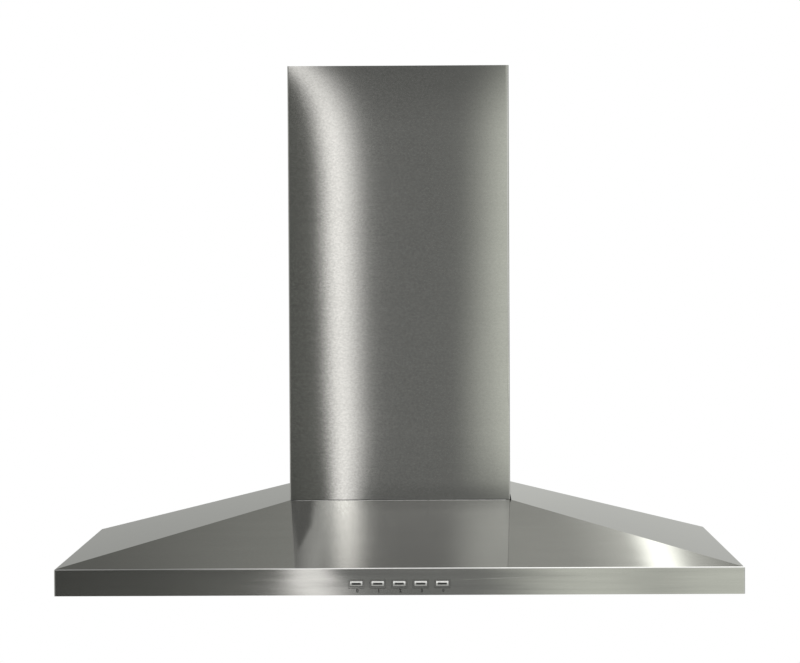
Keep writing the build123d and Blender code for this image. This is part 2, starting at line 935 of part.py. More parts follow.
def bored(start, length, radius):
    """A round hole on the fan's axis, cut from the builder that is open."""
    with BuildSketch(casing_plane.offset(start)) as disc:
        Circle(radius)
    extrude(disc.sketch, amount=length, mode=Mode.SUBTRACT)


arm_start = casing_outer + ring_depth + grommet_extra
arm_end = arm_start + arm_sheet
motor_near = casing_outer - motor_inset
motor_far = motor_near + motor_length
far_bearing = motor_far - bearing_length
stator_start = motor_near + bearing_length + motor_inset
can_bore = motor_radius - motor_wall
shaft_tip = -(hub_half + shaft_overhang)

with BuildPart() as motor_can:
    turned(motor_near, motor_length, motor_radius, can_bore)
    turned(motor_near, motor_wall, motor_radius)
    turned(motor_near, bearing_length, boss_radius)
    bored(motor_near - overlap_cut, bearing_length + 2 * overlap_cut, bearing_radius)
save(motor_can.part, "motor_can")

with BuildPart() as motor_end_cap:
    turned(motor_far, motor_wall, motor_radius)
    turned(far_bearing, bearing_length, boss_radius, bearing_radius)
    turned(motor_far - 2 * motor_wall, 2 * motor_wall, can_bore, can_bore - 2 * motor_wall)
save(motor_end_cap.part, "motor_end_cap")

with BuildPart() as motor_bearings:
    for start in (motor_near, far_bearing):
        turned(start, bearing_length, bearing_radius, shaft_radius + shaft_clearance)
save(motor_bearings.part, "motor_bearings")

with BuildPart() as motor_stator:
    turned(stator_start, rotor_length, can_bore, stator_bore)
save(motor_stator.part, "motor_stator")

with BuildPart() as motor_rotor:
    turned(stator_start, rotor_length, rotor_radius, shaft_radius)
save(motor_rotor.part, "motor_rotor")

with BuildPart() as motor_shaft:
    turned(shaft_tip, motor_far - overlap_cut - shaft_tip, shaft_radius)
save(motor_shaft.part, "motor_shaft")

with BuildPart() as motor_bracket:
    with BuildSketch(casing_plane.offset(arm_start)):
        Circle(motor_radius + clamp_wall)
        for angle in foot_angles:
            with Locations(Rotation(0, 0, angle)):
                with Locations((arm_foot_radius / 2, 0)):
                    Rectangle(arm_foot_radius, arm_width)
        with Locations(*foot_places):
            Circle(arm_width / 2)
        Circle(motor_radius, mode=Mode.SUBTRACT)
        with Locations(*foot_places):
            Circle(m4_radius, mode=Mode.SUBTRACT)
    extrude(amount=arm_sheet)
    turned(arm_start, clamp_width, motor_radius + clamp_wall, motor_radius)
save(motor_bracket.part, "motor_bracket")

with BuildPart() as motor_grommets:
    with BuildSketch(casing_plane.offset(casing_outer)):
        with Locations(*foot_places):
            Circle(grommet_radius)
            Circle(m4_radius, mode=Mode.SUBTRACT)
    extrude(amount=arm_start - casing_outer)
save(motor_grommets.part, "motor_grommets")

with BuildPart() as blower_screws:
    with BuildSketch(casing_plane.offset(arm_end)):
        with Locations(*foot_places):
            Circle(m4_head)
    extrude(amount=m4_head_height)
    with BuildSketch(casing_plane.offset(arm_end)):
        with Locations(*foot_places):
            Circle(m4_radius)
    extrude(amount=-(arm_end - casing_half + m4_head_height))
    for side in (-1, 1):
        with BuildSketch(Plane.YZ.offset(side * ear_outer)):
            with Locations(*ear_screw_places):
                Circle(m4_head)
        extrude(amount=side * m4_head_height)
        with BuildSketch(Plane.YZ.offset(side * ear_outer)):
            with Locations(*ear_screw_places):
                Circle(m4_radius)
        extrude(amount=-side * (ear_outer - casing_half + m4_head_height))
save(blower_screws.part, "blower_screws")

blade_length = impeller_radius - impeller_inner
with BuildPart() as impeller:
    with BuildSketch(casing_plane.offset(-impeller_half)):
        with PolarLocations((impeller_radius + impeller_inner) / 2, blade_count):
            Rectangle(blade_length, blade_sheet, rotation=blade_tilt)
    extrude(amount=2 * impeller_half)
    for start in (-impeller_half, impeller_half - impeller_rim):
        turned(start, impeller_rim, impeller_radius, impeller_inner)
    turned(-impeller_rim / 2, impeller_rim, impeller_radius - impeller_rim)
    turned(-hub_half, 2 * hub_half, hub_radius)
    bored(-hub_half - overlap_cut, 2 * (hub_half + overlap_cut), shaft_radius)
save(impeller.part, "impeller")


# ------------------------------------------------------------------ outlet, collar and damper
adapter_top = outlet_level + adapter_height
collar_base = adapter_top + adapter_wall
collar_bore = collar_radius - collar_wall
collar_centre = (0, -collar_setback)


def transition(grow, circle_radius):
    """Square-to-round duct from the casing's outlet to the collar."""
    with BuildPart() as duct:
        with BuildSketch(Plane.XY.offset(outlet_level)):
            with Locations((0, outlet_centre)):
                Rectangle(casing_width + 2 * grow, throat + 2 * grow)
        with BuildSketch(Plane.XY.offset(adapter_top)):
            with Locations(collar_centre):
                Circle(circle_radius)
        loft()
    return duct.part


adapter_outside = transition(casing_sheet, collar_radius)
adapter_inside = transition(0, collar_bore)
with BuildPart() as outlet_adapter:
    add(adapter_outside)
    add(adapter_inside, mode=Mode.SUBTRACT)
    with BuildSketch(Plane.XY.offset(adapter_top)):
        with Locations(collar_centre):
            Circle(collar_radius + collar_flange)
            Circle(collar_bore, mode=Mode.SUBTRACT)
    extrude(amount=adapter_wall)
save(outlet_adapter.part, "outlet_adapter")

pin_level = collar_base + pin_height
lip_top = pin_level - flap_sheet / 2 - seat_gap
pin_half = collar_radius - pin_inset
with BuildPart() as duct_collar:
    with BuildSketch(Plane.XY.offset(collar_base)):
        with Locations(collar_centre):
            Circle(collar_radius + collar_flange)
            Circle(collar_bore, mode=Mode.SUBTRACT)
    extrude(amount=collar_wall)
    with BuildSketch(Plane.XY.offset(collar_base)):
        with Locations(collar_centre):
            Circle(collar_radius)
            Circle(collar_bore, mode=Mode.SUBTRACT)
    extrude(amount=collar_height)
    with BuildSketch(Plane.XY.offset(lip_top - collar_wall)):
        with Locations(collar_centre):
            Circle(collar_radius)
            Circle(collar_bore - seat_width, mode=Mode.SUBTRACT)
    extrude(amount=collar_wall)
    with BuildSketch(Plane.YZ.offset(-2 * collar_radius)):
        with Locations((-collar_setback, pin_level)):
            Circle(pin_radius)
    extrude(amount=4 * collar_radius, mode=Mode.SUBTRACT)
save(duct_collar.part, "duct_collar")

with BuildPart() as damper_pin:
    with BuildSketch(Plane.YZ.offset(-pin_half)):
        with Locations((-collar_setback, pin_level)):
            Circle(pin_radius)
    extrude(amount=2 * pin_half)
save(damper_pin.part, "damper_pin")

for side, name, reach in ((-1, "front", knuckle_front), (1, "rear", knuckle_rear)):
    with BuildPart() as damper_flap:
        with BuildSketch(Plane.XY.offset(pin_level - flap_sheet / 2)):
            with Locations(collar_centre):
                Circle(flap_radius)
                with Locations((0, side * (flap_gap - flap_radius))):
                    Rectangle(2 * flap_radius, 2 * flap_radius, mode=Mode.SUBTRACT)
            for end in (-1, 1):
                with Locations((end * reach, -collar_setback + side * flap_gap / 2)):
                    Rectangle(knuckle_length, flap_gap + knuckle_root)
        extrude(amount=flap_sheet)
        for end in (-1, 1):
            with BuildSketch(Plane.YZ.offset(end * reach - knuckle_length / 2)):
                with Locations((-collar_setback, pin_level)):
                    Circle(knuckle_radius)
            extrude(amount=knuckle_length)
        with BuildSketch(Plane.YZ.offset(-collar_radius)):
            with Locations((-collar_setback, pin_level)):
                Circle(pin_radius + shaft_clearance)
        extrude(amount=2 * collar_radius, mode=Mode.SUBTRACT)
    save(damper_flap.part, f"damper_flap_{name}")


# ------------------------------------------------------------------ electrics
box_left = box_offset - box_width / 2
box_right = box_offset + box_width / 2
box_front = back_sheet + box_depth
box_top = box_level + box_height
box_middle = (box_offset, -(back_sheet + box_depth / 2))
with BuildPart() as junction_box:
    block(box_left, box_right, -box_front, -back_sheet, box_level, box_top)
    cut_block(
        box_left + box_wall,
        box_right - box_wall,
        -box_front - overlap_cut,
        -back_sheet - box_wall,
        box_level + box_wall,
        box_top - box_wall,
    )
    with BuildSketch(Plane.XY.offset(box_top - box_wall - overlap_cut)):
        with Locations(box_middle):
            Circle(gland_bore)
    extrude(amount=box_wall + 2 * overlap_cut, mode=Mode.SUBTRACT)
save(junction_box.part, "junction_box")

with BuildPart() as junction_box_cover:
    block(box_left, box_right, -box_front - box_wall, -box_front, box_level, box_top)
save(junction_box_cover.part, "junction_box_cover")

with BuildPart() as cable_gland:
    with BuildSketch(Plane.XY.offset(box_top)):
        with Locations(box_middle):
            RegularPolygon(gland_radius, 6)
            Circle(gland_bore, mode=Mode.SUBTRACT)
    extrude(amount=gland_nut_height)
    with BuildSketch(Plane.XY.offset(box_top)):
        with Locations(box_middle):
            Circle(gland_body_radius)
            Circle(gland_bore, mode=Mode.SUBTRACT)
    extrude(amount=gland_height)
save(cable_gland.part, "cable_gland")

with BuildPart() as terminal_block:
    terminal_base = -back_sheet - box_wall
    block(
        box_offset - terminal_width / 2,
        box_offset + terminal_width / 2,
        terminal_base - terminal_depth,
        terminal_base,
        box_level + box_height / 2 - terminal_height / 2,
        box_level + box_height / 2 + terminal_height / 2,
    )
    with BuildSketch(Plane.XZ.offset(-terminal_base + terminal_depth)):
        with Locations((box_offset, box_level + box_height / 2)):
            with GridLocations(terminal_width / 3, 0, 3, 1):
                Circle(m4_radius)
    extrude(amount=-terminal_depth / 2, mode=Mode.SUBTRACT)
save(terminal_block.part, "terminal_block")

with BuildPart() as capacitor:
    block(
        -capacitor_offset - capacitor_width / 2,
        -capacitor_offset + capacitor_width / 2,
        -back_sheet - capacitor_depth,
        -back_sheet,
        box_level,
        box_level + capacitor_height,
    )
    fillet(capacitor.edges().filter_by(Axis.Z).group_by(Axis.Y)[0], radius=bend_radius)
save(capacitor.part, "capacitor")


def lead(points, bend):
    """A round lead through the points, with arcs of one radius."""
    with BuildLine() as route:
        FilletPolyline(*points, radius=bend)
    start = route.line ^ 0
    with BuildPart() as tube:
        with BuildSketch(start):
            Circle(lead_radius)
        sweep(path=route.line)
    return tube.part


lead_y = box_middle[1]
lead_rest = liner_top + lead_radius
divider_x = filter_pitch / 2
switch_entry = switch_width / 2 + bracket_sheet
switch_lead = lead(
    [
        (box_offset, lead_y, box_level),
        (box_offset, lead_y, lead_rest + lead_drop),
        (divider_x, lead_y - lead_step, lead_rest),
        (divider_x, -opening_front_edge - lead_corner, lead_rest),
        (switch_entry + lead_run, -switch_rear - lead_inset, button_level),
        (switch_entry, -switch_rear - lead_inset, button_level),
    ],
    lead_bend,
)
save(switch_lead, "switch_lead")

motor_lead = lead(
    [
        (-capacitor_offset, -back_sheet - capacitor_depth / 2, box_level),
        (-capacitor_offset, -back_sheet - capacitor_depth / 2, blower_axis),
        (-capacitor_offset, -blower_setback + motor_radius, blower_axis),
    ],
    motor_lead_bend,
)
save(motor_lead, "motor_lead")
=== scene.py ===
"""Looks of the wall-mounted chimney hood: brushed steel, buttons, filters, lamps and the studio."""
import json
import math
import random

import bmesh
import bpy
from mathutils import Matrix, Vector


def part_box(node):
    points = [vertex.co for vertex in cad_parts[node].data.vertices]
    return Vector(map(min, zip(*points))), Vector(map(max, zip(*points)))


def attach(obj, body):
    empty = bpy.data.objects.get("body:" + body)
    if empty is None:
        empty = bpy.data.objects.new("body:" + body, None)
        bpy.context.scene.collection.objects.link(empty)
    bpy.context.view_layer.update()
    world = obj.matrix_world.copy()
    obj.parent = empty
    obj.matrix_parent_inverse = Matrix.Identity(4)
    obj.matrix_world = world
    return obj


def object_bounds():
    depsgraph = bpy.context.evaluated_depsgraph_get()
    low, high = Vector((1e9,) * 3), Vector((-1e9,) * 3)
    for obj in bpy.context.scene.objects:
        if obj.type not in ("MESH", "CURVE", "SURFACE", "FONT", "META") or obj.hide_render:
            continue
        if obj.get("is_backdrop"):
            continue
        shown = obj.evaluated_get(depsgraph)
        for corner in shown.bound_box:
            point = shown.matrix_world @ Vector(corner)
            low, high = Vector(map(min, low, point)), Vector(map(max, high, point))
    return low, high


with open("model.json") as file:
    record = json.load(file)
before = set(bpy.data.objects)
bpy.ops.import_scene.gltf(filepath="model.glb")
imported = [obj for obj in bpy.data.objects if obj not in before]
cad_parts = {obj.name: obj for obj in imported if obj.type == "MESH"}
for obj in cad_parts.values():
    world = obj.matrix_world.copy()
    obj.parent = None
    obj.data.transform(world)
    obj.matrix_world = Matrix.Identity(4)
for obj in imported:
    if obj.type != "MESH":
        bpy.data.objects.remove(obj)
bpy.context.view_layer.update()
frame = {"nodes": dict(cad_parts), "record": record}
nodes_by_name = frame["nodes"]
random.seed(7)

# real sizes in metres, as in the frame
BAND_FRONT = -0.500
CANOPY_TOP = 0.107
FLUE_HALF = 0.151
FLUE_FRONT = -0.317
FLUE_TOP = 0.701
BUTTON_LEVEL, BUTTON_PITCH = 0.015, 0.028
BUTTONS = ["button_off", "button_speed_1", "button_speed_2", "button_speed_3", "button_light"]


# ------------------------------------------------------------------ node helpers
class Tree:
    """Short ways to add and join shader nodes."""

    def __init__(self, tree):
        self.nodes, self.links = tree.nodes, tree.links

    def put(self, socket, value):
        if isinstance(value, bpy.types.NodeSocket):
            self.links.new(value, socket)
        else:
            socket.default_value = value

    def node(self, kind, **settings):
        n = self.nodes.new(kind)
        for key, value in settings.items():
            setattr(n, key, value)
        return n

    def math(self, operation, a, b=0.0, c=0.0, clamp=False):
        n = self.node("ShaderNodeMath", operation=operation, use_clamp=clamp)
        for socket, value in zip(n.inputs, (a, b, c)):
            self.put(socket, value)
        return n.outputs[0]

    def times(self, first, *others):
        for other in others:
            first = self.math("MULTIPLY", first, other)
        return first

    def plus(self, first, *others):
        for other in others:
            first = self.math("ADD", first, other)
        return first

    def minus(self, a, b):
        return self.math("SUBTRACT", a, b)

    def times_plus(self, a, b, c):
        """a * b + c"""
        return self.math("MULTIPLY_ADD", a, b, c)

    def larger(self, a, b):
        return self.math("MAXIMUM", a, b)

    def absolute(self, a):
        return self.math("ABSOLUTE", a)

    def vector(self, operation, a, b=(0.0, 0.0, 0.0)):
        n = self.node("ShaderNodeVectorMath", operation=operation)
        self.put(n.inputs[0], a)
        if len(n.inputs) > 1:
            self.put(n.inputs[1], b)
        return n.outputs[0]

    def scaled(self, place, scales):
        return self.vector("MULTIPLY", place, scales)

    def turned(self, normal, shift):
        """The normal, turned a little by adding the shift."""
        return self.vector("NORMALIZE", self.vector("ADD", normal, shift))

    def step(self, value, start, end):
        """0 before start, 1 after end, smooth between."""
        n = self.node("ShaderNodeMapRange", interpolation_type="SMOOTHSTEP")
        for socket, v in zip(n.inputs, (value, start, end, 0.0, 1.0)):
            self.put(socket, v)
        return n.outputs[0]

    def window(self, value, rise, fall):
        """1 between two smooth edges, each given as (low, high), and 0 outside them."""
        return self.times(self.step(value, *rise), self.step(value, fall[1], fall[0]))

    def span(self, value, low, high, to_low, to_high):
        """Low to high is spread evenly over to_low to to_high."""
        n = self.node("ShaderNodeMapRange")
        for socket, v in zip(n.inputs, (value, low, high, to_low, to_high)):
            self.put(socket, v)
        return n.outputs[0]

    def vary(self, noise, low, high):
        """Most of a noise lies between 0.3 and 0.7, which is spread over low to high."""
        return self.span(noise, 0.3, 0.7, low, high)

    def dimmed(self, mask, level):
        """1 where the mask is 0, and the level where it is 1."""
        return self.span(mask, 0.0, 1.0, 1.0, level)

    def mix(self, factor, a, b, blend="MIX"):
        n = self.node("ShaderNodeMix", data_type="RGBA", blend_type=blend)
        self.put(n.inputs[0], factor)
        for socket, v in ((n.inputs[6], a), (n.inputs[7], b)):
            self.put(socket, v if isinstance(v, bpy.types.NodeSocket) else (*v[:3], 1.0))
        return n.outputs[2]

    def xyz(self, vector):
        n = self.node("ShaderNodeSeparateXYZ")
        self.put(n.inputs[0], vector)
        return n.outputs[:3]

    def combine(self, x, y, z):
        n = self.node("ShaderNodeCombineXYZ")
        for socket, v in zip(n.inputs, (x, y, z)):
            self.put(socket, v)
        return n.outputs[0]

    def tinted(self, value, tint):
        """A colour: the tint times a value that changes over the surface."""
        return self.combine(*[self.times(value, t) for t in tint])

    def ramp(self, value, stops):
        n = self.node("ShaderNodeValToRGB")
        elements = n.color_ramp.elements
        while len(elements) > 1:
            elements.remove(elements[-1])
        elements[0].position = stops[0][0]
        elements[0].color = (*stops[0][1], 1.0)
        for place, colour in stops[1:]:
            e = elements.new(place)
            e.color = (*colour, 1.0)
        self.put(n.inputs[0], value)
        return n.outputs[0]

    def noise(self, vector, scale=1.0, detail=2.0, rough=0.5):
        n = self.node("ShaderNodeTexNoise")
        self.put(n.inputs["Vector"], vector)
        n.inputs["Scale"].default_value = scale
        n.inputs["Detail"].default_value = detail
        n.inputs["Roughness"].default_value = rough
        return n.outputs["Fac"]

    def bump(self, height, strength, distance, normal=None):
        n = self.node("ShaderNodeBump")
        n.inputs["Strength"].default_value = strength
        n.inputs["Distance"].default_value = distance
        self.put(n.inputs["Height"], height)
        if normal is not None:
            self.put(n.inputs["Normal"], normal)
        return n.outputs[0]


def start_material(name):
    """A material with only a Principled shader, its tree, and the object's own coordinates."""
    made = bpy.data.materials.new(name)
    made.use_nodes = True
    tree = Tree(made.node_tree)
    shader = made.node_tree.nodes["Principled BSDF"]
    place = tree.node("ShaderNodeTexCoord").outputs["Object"]
    return made, tree, shader, place


def finish_material(tree, shader, colour, roughness, normal):
    tree.put(shader.inputs["Base Color"], colour)
    tree.put(shader.inputs["Roughness"], roughness)
    tree.put(shader.inputs["Normal"], normal)


# ------------------------------------------------------------------ brushed steel
STEEL = (0.60, 0.598, 0.580)
STEEL_EDGE = (0.42, 0.42, 0.4137, 1.0)


def brushed(name, roughness, mottle, upright=True, streaks=0.012, ripple=0.0, waves=0.0,
            slope_roughness=None, lean=None, film_and_painted_shade=None, calm=None):
    """Sheet with a fine grain, whose reflections smear across the grain.

    The grain lies level on upright sheet, and along X on level sheet.
    mottle and streaks are the strength of the flecks and of the long lines in the colour.
    ripple and waves turn the normal a little, by the flecks and in soft lines.
    lean and calm are functions for the larger turns of the normal and for areas with fewer
    flecks; the function given between them adds painted shade and painted reflection to the colour.
    """
    made, tree, shader, place = start_material(name)
    fine_scale = (30, 30, 2600) if upright else (30, 2600, 30)
    long_scale = (5, 5, 190) if upright else (5, 190, 5)
    across_grain = (0.01, 0.02, 1.02) if upright else (0.01, 1.02, 0.02)
    fine = tree.noise(tree.scaled(place, fine_scale), detail=3.0, rough=0.6)
    long = tree.noise(tree.scaled(place, long_scale), detail=3.0, rough=0.6)
    speck = tree.noise(tree.scaled(place, (310, 310, 450)), detail=2.0)
    cloud = tree.noise(place, scale=9.0, detail=2.0)
    grain = tree.plus(tree.times(fine, 0.7), tree.times(long, 0.3))
    normal = tree.node("ShaderNodeNewGeometry").outputs["Normal"]
    rise = tree.step(tree.xyz(normal)[2], 0.3, 0.8)

    drawn = tree.times(tree.vary(long, -streaks, streaks), tree.dimmed(rise, 0.3))
    flecks = tree.vary(speck, -mottle, mottle)
    if calm is not None:
        flecks = tree.times(flecks, calm(tree, place))
    shade = tree.times(tree.vary(fine, 0.985, 1.015), tree.plus(1.0, tree.plus(drawn, flecks)))
    shade = tree.times(shade, tree.vary(cloud, 0.98, 1.02))
    # painted shade and painted reflection: the colour is darkened or lightened by place and normal
    if film_and_painted_shade is not None:
        shade = tree.times(shade, film_and_painted_shade(tree, place, normal))
    rough = tree.vary(grain, roughness - 0.006, roughness + 0.006)
    if slope_roughness is not None:
        rough = tree.times(rough, tree.dimmed(rise, slope_roughness / roughness))

    sway = tree.times(tree.minus(speck, 0.5), ripple)
    if waves:
        wave = tree.noise(tree.scaled(place, (9, 9, 110)), detail=1.0)
        wave = tree.times(tree.minus(wave, 0.5), tree.span(rise, 0.0, 1.0, waves, 0.15 * waves))
        sway = tree.plus(sway, wave)
    shift = tree.combine(sway, 0.0, 0.0)
    if lean is not None:
        shift = tree.vector("ADD", shift, lean(tree, place, normal))
    normal = tree.bump(grain, strength=0.10, distance=0.00003, normal=tree.turned(normal, shift))

    finish_material(tree, shader, tree.tinted(shade, STEEL), rough, normal)
    shader.inputs["Metallic"].default_value = 1.0
    shader.inputs["Anisotropic"].default_value = 1.0
    shader.inputs["Specular Tint"].default_value = STEEL_EDGE
    tree.put(shader.inputs["Tangent"], tree.combine(*across_grain))
    return made


def powers(tree, x, terms):
    """terms[0] + terms[1]*x + terms[2]*x*x + ..."""
    total = terms[-1]
    for term in reversed(terms[:-1]):
        total = tree.times_plus(x, total, term)
    return total


def fading(tree, value, start, reach):
    """1 at the start, and e times less after each further reach, down to nothing at ten."""
    return tree.math("EXPONENT", tree.span(value, start, start + 10 * reach, 0.0, -10.0))


def to_front(tree, normal, start, end):
    """0 to 1 as a surface turns to face the front."""
    return tree.step(tree.times(tree.xyz(normal)[1], -1.0), start, end)


# the bow of the flue cover's front, as turns of its normal in radians for x in metres
BOW = (-0.00035, 0.0537, -0.0579, 2.010)
BOW_TOP, TOP_REACH = (0.00324, -0.0826, -0.0168), -0.0505
BOW_FOOT, FOOT_REACH = (0.00342, -0.0216, -0.711), 0.0453
BOW_TWIST, TWIST_LEVEL = (0.00101, -0.0400, -0.0123), 0.4
# soft swellings: edges in x, edges in z, turn
FLUE_SWELLINGS = (
    (((-0.150, -0.122), (-0.045, -0.020)), ((0.19, 0.26), (0.45, 0.55)), 0.00040),
    (((0.055, 0.090), (0.108, 0.130)), ((0.11, 0.14), (0.28, 0.42)), 0.00090),
)
CURL_WIDTH, CURL_TURN = 0.0042, 0.26


def flue_bow(tree, place, normal):
    """The front of the flue cover bows out a little; its open top end and its foot are held
    flatter. Its right edge curls back where it is folded."""
    x, _, z = tree.xyz(place)
    top = fading(tree, z, FLUE_TOP, TOP_REACH)
    foot = fading(tree, z, CANOPY_TOP, FOOT_REACH)
    turn = tree.times_plus(top, powers(tree, x, BOW_TOP), powers(tree, x, BOW))
    turn = tree.times_plus(foot, powers(tree, x, BOW_FOOT), turn)
    turn = tree.times_plus(tree.minus(z, TWIST_LEVEL), powers(tree, x, BOW_TWIST), turn)
    for across, along, amount in FLUE_SWELLINGS:
        swelling = tree.times(tree.window(x, *across), tree.window(z, *along))
        turn = tree.times_plus(swelling, amount, turn)
    curl = tree.span(x, FLUE_HALF - CURL_WIDTH, FLUE_HALF, 0.0, CURL_TURN)
    turn = tree.times_plus(curl, tree.step(z, 0.20, 0.40), turn)
    return tree.combine(tree.times(turn, to_front(tree, normal, 0.7, 0.95)), 0.0, 0.0)


# levels of the painted shade on the flue cover at its top end, its foot and its seam, and how faint
# its flecks get on the right
TOP_PAINTED_SHADE, FOOT_PAINTED_SHADE, SEAM_PAINTED_SHADE, CALM = 0.786, 0.947, 0.85, 0.4


def flue_painted_shade(tree, place, normal):
    """Painted shade: the colour is darker near the open top end, at the foot and along the seam
    there, where the reflections in the cover are darker.
    """
    x, _, z = tree.xyz(place)
    top = tree.dimmed(tree.step(z, 0.60, 0.70), TOP_PAINTED_SHADE)
    foot = tree.dimmed(tree.step(z, 0.22, 0.11), FOOT_PAINTED_SHADE)
    seam = tree.times(tree.step(z, 0.138, 0.112), tree.step(x, -0.065, -0.035))
    return tree.times(top, tree.times(foot, tree.dimmed(seam, SEAM_PAINTED_SHADE)))


def flue_calm(tree, place):
    """The flecks of the flue cover are fainter towards its right side."""
    return tree.span(tree.xyz(place)[0], 0.04, 0.09, 1.0, CALM)


def front_slope(tree, normal):
    """1 on the front slope of the canopy, 0 on its other faces."""
    return tree.times(to_front(tree, normal, 0.2, 0.35), tree.step(tree.xyz(normal)[2], 0.8, 0.9))


# levels of the painted reflection on the front slope: its middle in y, the faster change nearer the
# flue cover and on the left, and its lift
SLOPE_MIDDLE, UPPER_REFLECTION_RATE, LEFT_RATE, SLOPE_LIFT = -0.41, 1.5, 2.0, 0.05


def slope_painted_reflection(tree, place, normal):
    """Painted reflection: below the flue cover the front slope's colour is lighter near the cover
    and darker near the band, and changes faster on the left, where the cover is reflected in it.
    """
    x, y, _ = tree.xyz(place)
    below = tree.times(tree.window(x, (-0.118, -0.100), (0.140, 0.152)), front_slope(tree, normal))
    up = tree.minus(y, SLOPE_MIDDLE)
    change = tree.times_plus(tree.larger(up, 0.0), UPPER_REFLECTION_RATE, tree.plus(up, SLOPE_LIFT))
    left = tree.window(x, (-0.112, -0.095), (-0.045, -0.020))
    change = tree.plus(change, tree.times(left, tree.times(up, LEFT_RATE)))
    return tree.times_plus(below, change, 1.0)


TWIST_RATE, TWIST_MIDDLE = 0.07, -0.424
DIP_TURN, DIP_LEAN, DIP_LEFT = (-0.012, -0.021), 0.09, -0.149
DIP_RIGHT, DIP_BEND, BEND_START = -0.1195, 0.223, -0.385
BAND_LEVELS, MIDDLE_TURN, LEFT_TURN = (0.010, 0.028), (0.0012, 0.0095), (-0.0008, -0.0036)


def canopy_waves(tree, place, normal):
    """The front slope twists slightly on the right and dips beside the left corner of the flue
    cover. The band below it is a little wavy near the buttons."""
    x, y, z = tree.xyz(place)
    twist = tree.times(tree.minus(y, TWIST_MIDDLE), TWIST_RATE)
    twist = tree.times(tree.step(x, 0.12, 0.22), twist)

    # the dip lies between a line from the flue cover's left corner and a bent line to its right
    bend = tree.math("MINIMUM", tree.minus(y, BEND_START), 0.0)
    right_edge = tree.times_plus(bend, DIP_BEND, DIP_RIGHT)
    soft = tree.span(y, -0.41, -0.335, 0.005, 0.011)
    inside = tree.step(tree.minus(right_edge, x), tree.times(soft, -1.0), soft)
    leaning = tree.times_plus(y, DIP_LEAN, -DIP_LEFT - FLUE_FRONT * DIP_LEAN)
    from_left = tree.plus(x, leaning)
    limits = tree.times(tree.step(from_left, 0.0, 0.007), tree.step(y, -0.472, -0.450))
    inside = tree.times(inside, limits)
    dip = tree.times(inside, tree.span(y, -0.45, -0.34, *DIP_TURN))
    slope = tree.times(front_slope(tree, normal), tree.plus(twist, dip))

    middle = tree.window(x, (-0.108, -0.045), (0.0, 0.11))
    swell = tree.times(middle, tree.span(z, *BAND_LEVELS, *MIDDLE_TURN))
    left = tree.step(x, -0.120, -0.172)
    swell = tree.times_plus(left, tree.span(z, *BAND_LEVELS, *LEFT_TURN), swell)
    band_face = to_front(tree, normal, 0.90, 0.98)
    return tree.combine(tree.times_plus(band_face, swell, slope), 0.0, 0.0)


# ------------------------------------------------------------------ other materials
def galvanised():
    made, tree, shader, place = start_material("galvanised_sheet")
    cells = tree.node("ShaderNodeTexVoronoi")
    tree.put(cells.inputs["Vector"], place)
    cells.inputs["Scale"].default_value = 130.0
    spark = tree.xyz(cells.outputs["Color"])[0]
    film_and_painted_shade = tree.noise(place, scale=30.0, detail=3.0)
    shade = tree.times(tree.span(spark, 0.0, 1.0, 0.80, 1.06), tree.vary(film_and_painted_shade, 0.94, 1.05))
    finish_material(tree, shader, tree.tinted(shade, (0.57, 0.58, 0.59)),
                    tree.span(spark, 0.0, 1.0, 0.34, 0.52),
                    tree.bump(film_and_painted_shade, strength=0.1, distance=0.0002))
    shader.inputs["Metallic"].default_value = 1.0
    return made


def plain_metal(name, colour, roughness, grain, depth=0.00003):
    made, tree, shader, place = start_material(name)
    lines = tree.noise(tree.scaled(place, grain), detail=2.0)
    film_and_painted_shade = tree.noise(place, scale=60.0, detail=3.0)
    shade = tree.times(tree.vary(lines, 0.92, 1.05), tree.vary(film_and_painted_shade, 0.95, 1.04))
    finish_material(tree, shader, tree.tinted(shade, colour),
                    tree.vary(film_and_painted_shade, roughness - 0.04, roughness + 0.05),
                    tree.bump(lines, strength=0.25, distance=depth))
    shader.inputs["Metallic"].default_value = 1.0
    return made


def moulded(name, colour, roughness, grit=900.0, depth=0.00004, coat=0.0):
    """Moulded plastic, paint or rubber with a fine surface texture and slight colour drift."""
    made, tree, shader, place = start_material(name)
    texture = tree.noise(place, scale=grit, detail=2.0)
    drift = tree.noise(place, scale=35.0, detail=3.0)
    shade = tree.times(tree.vary(drift, 0.95, 1.04), tree.vary(texture, 0.97, 1.02))
    finish_material(tree, shader, tree.tinted(shade, colour),
                    tree.vary(texture, roughness - 0.04, roughness + 0.04),
                    tree.bump(texture, strength=0.2, distance=depth))
    shader.inputs["Coat Weight"].default_value = coat
    return made


WAVES_X, WAVES_Y = 690.0, 1370.0  # radians per metre
SHEETS_X = 6283.0  # radians per metre, half a turn for each sheet of 0.5 mm


def expanded_sheet():
    """The inner layers of the grease filter, seen between the strands of the outer one, with
    painted shade in the gaps between their own strands.
    """
    made, tree, shader, place = start_material("filter_layers")
    x, y, _ = tree.xyz(place)
    u, v = tree.times(x, WAVES_X), tree.times(y, WAVES_Y)
    falling = tree.absolute(tree.math("SINE", tree.times(tree.plus(u, v), 0.5)))
    rising = tree.absolute(tree.math("SINE", tree.times(tree.minus(u, v), 0.5)))
    strand = tree.minus(1.0, tree.math("MINIMUM", falling, rising))
    lit = tree.step(strand, 0.45, 0.8)
    # painted shade: the gaps between the strands are dark, as the layers behind them lie in shade
    finish_material(tree, shader, tree.mix(lit, (0.06, 0.06, 0.062), (0.5, 0.505, 0.51)),
                    tree.span(lit, 0.0, 1.0, 0.7, 0.38),
                    tree.bump(strand, strength=0.7, distance=0.0008))
    tree.put(shader.inputs["Metallic"], tree.span(lit, 0.0, 1.0, 0.3, 1.0))
    return made


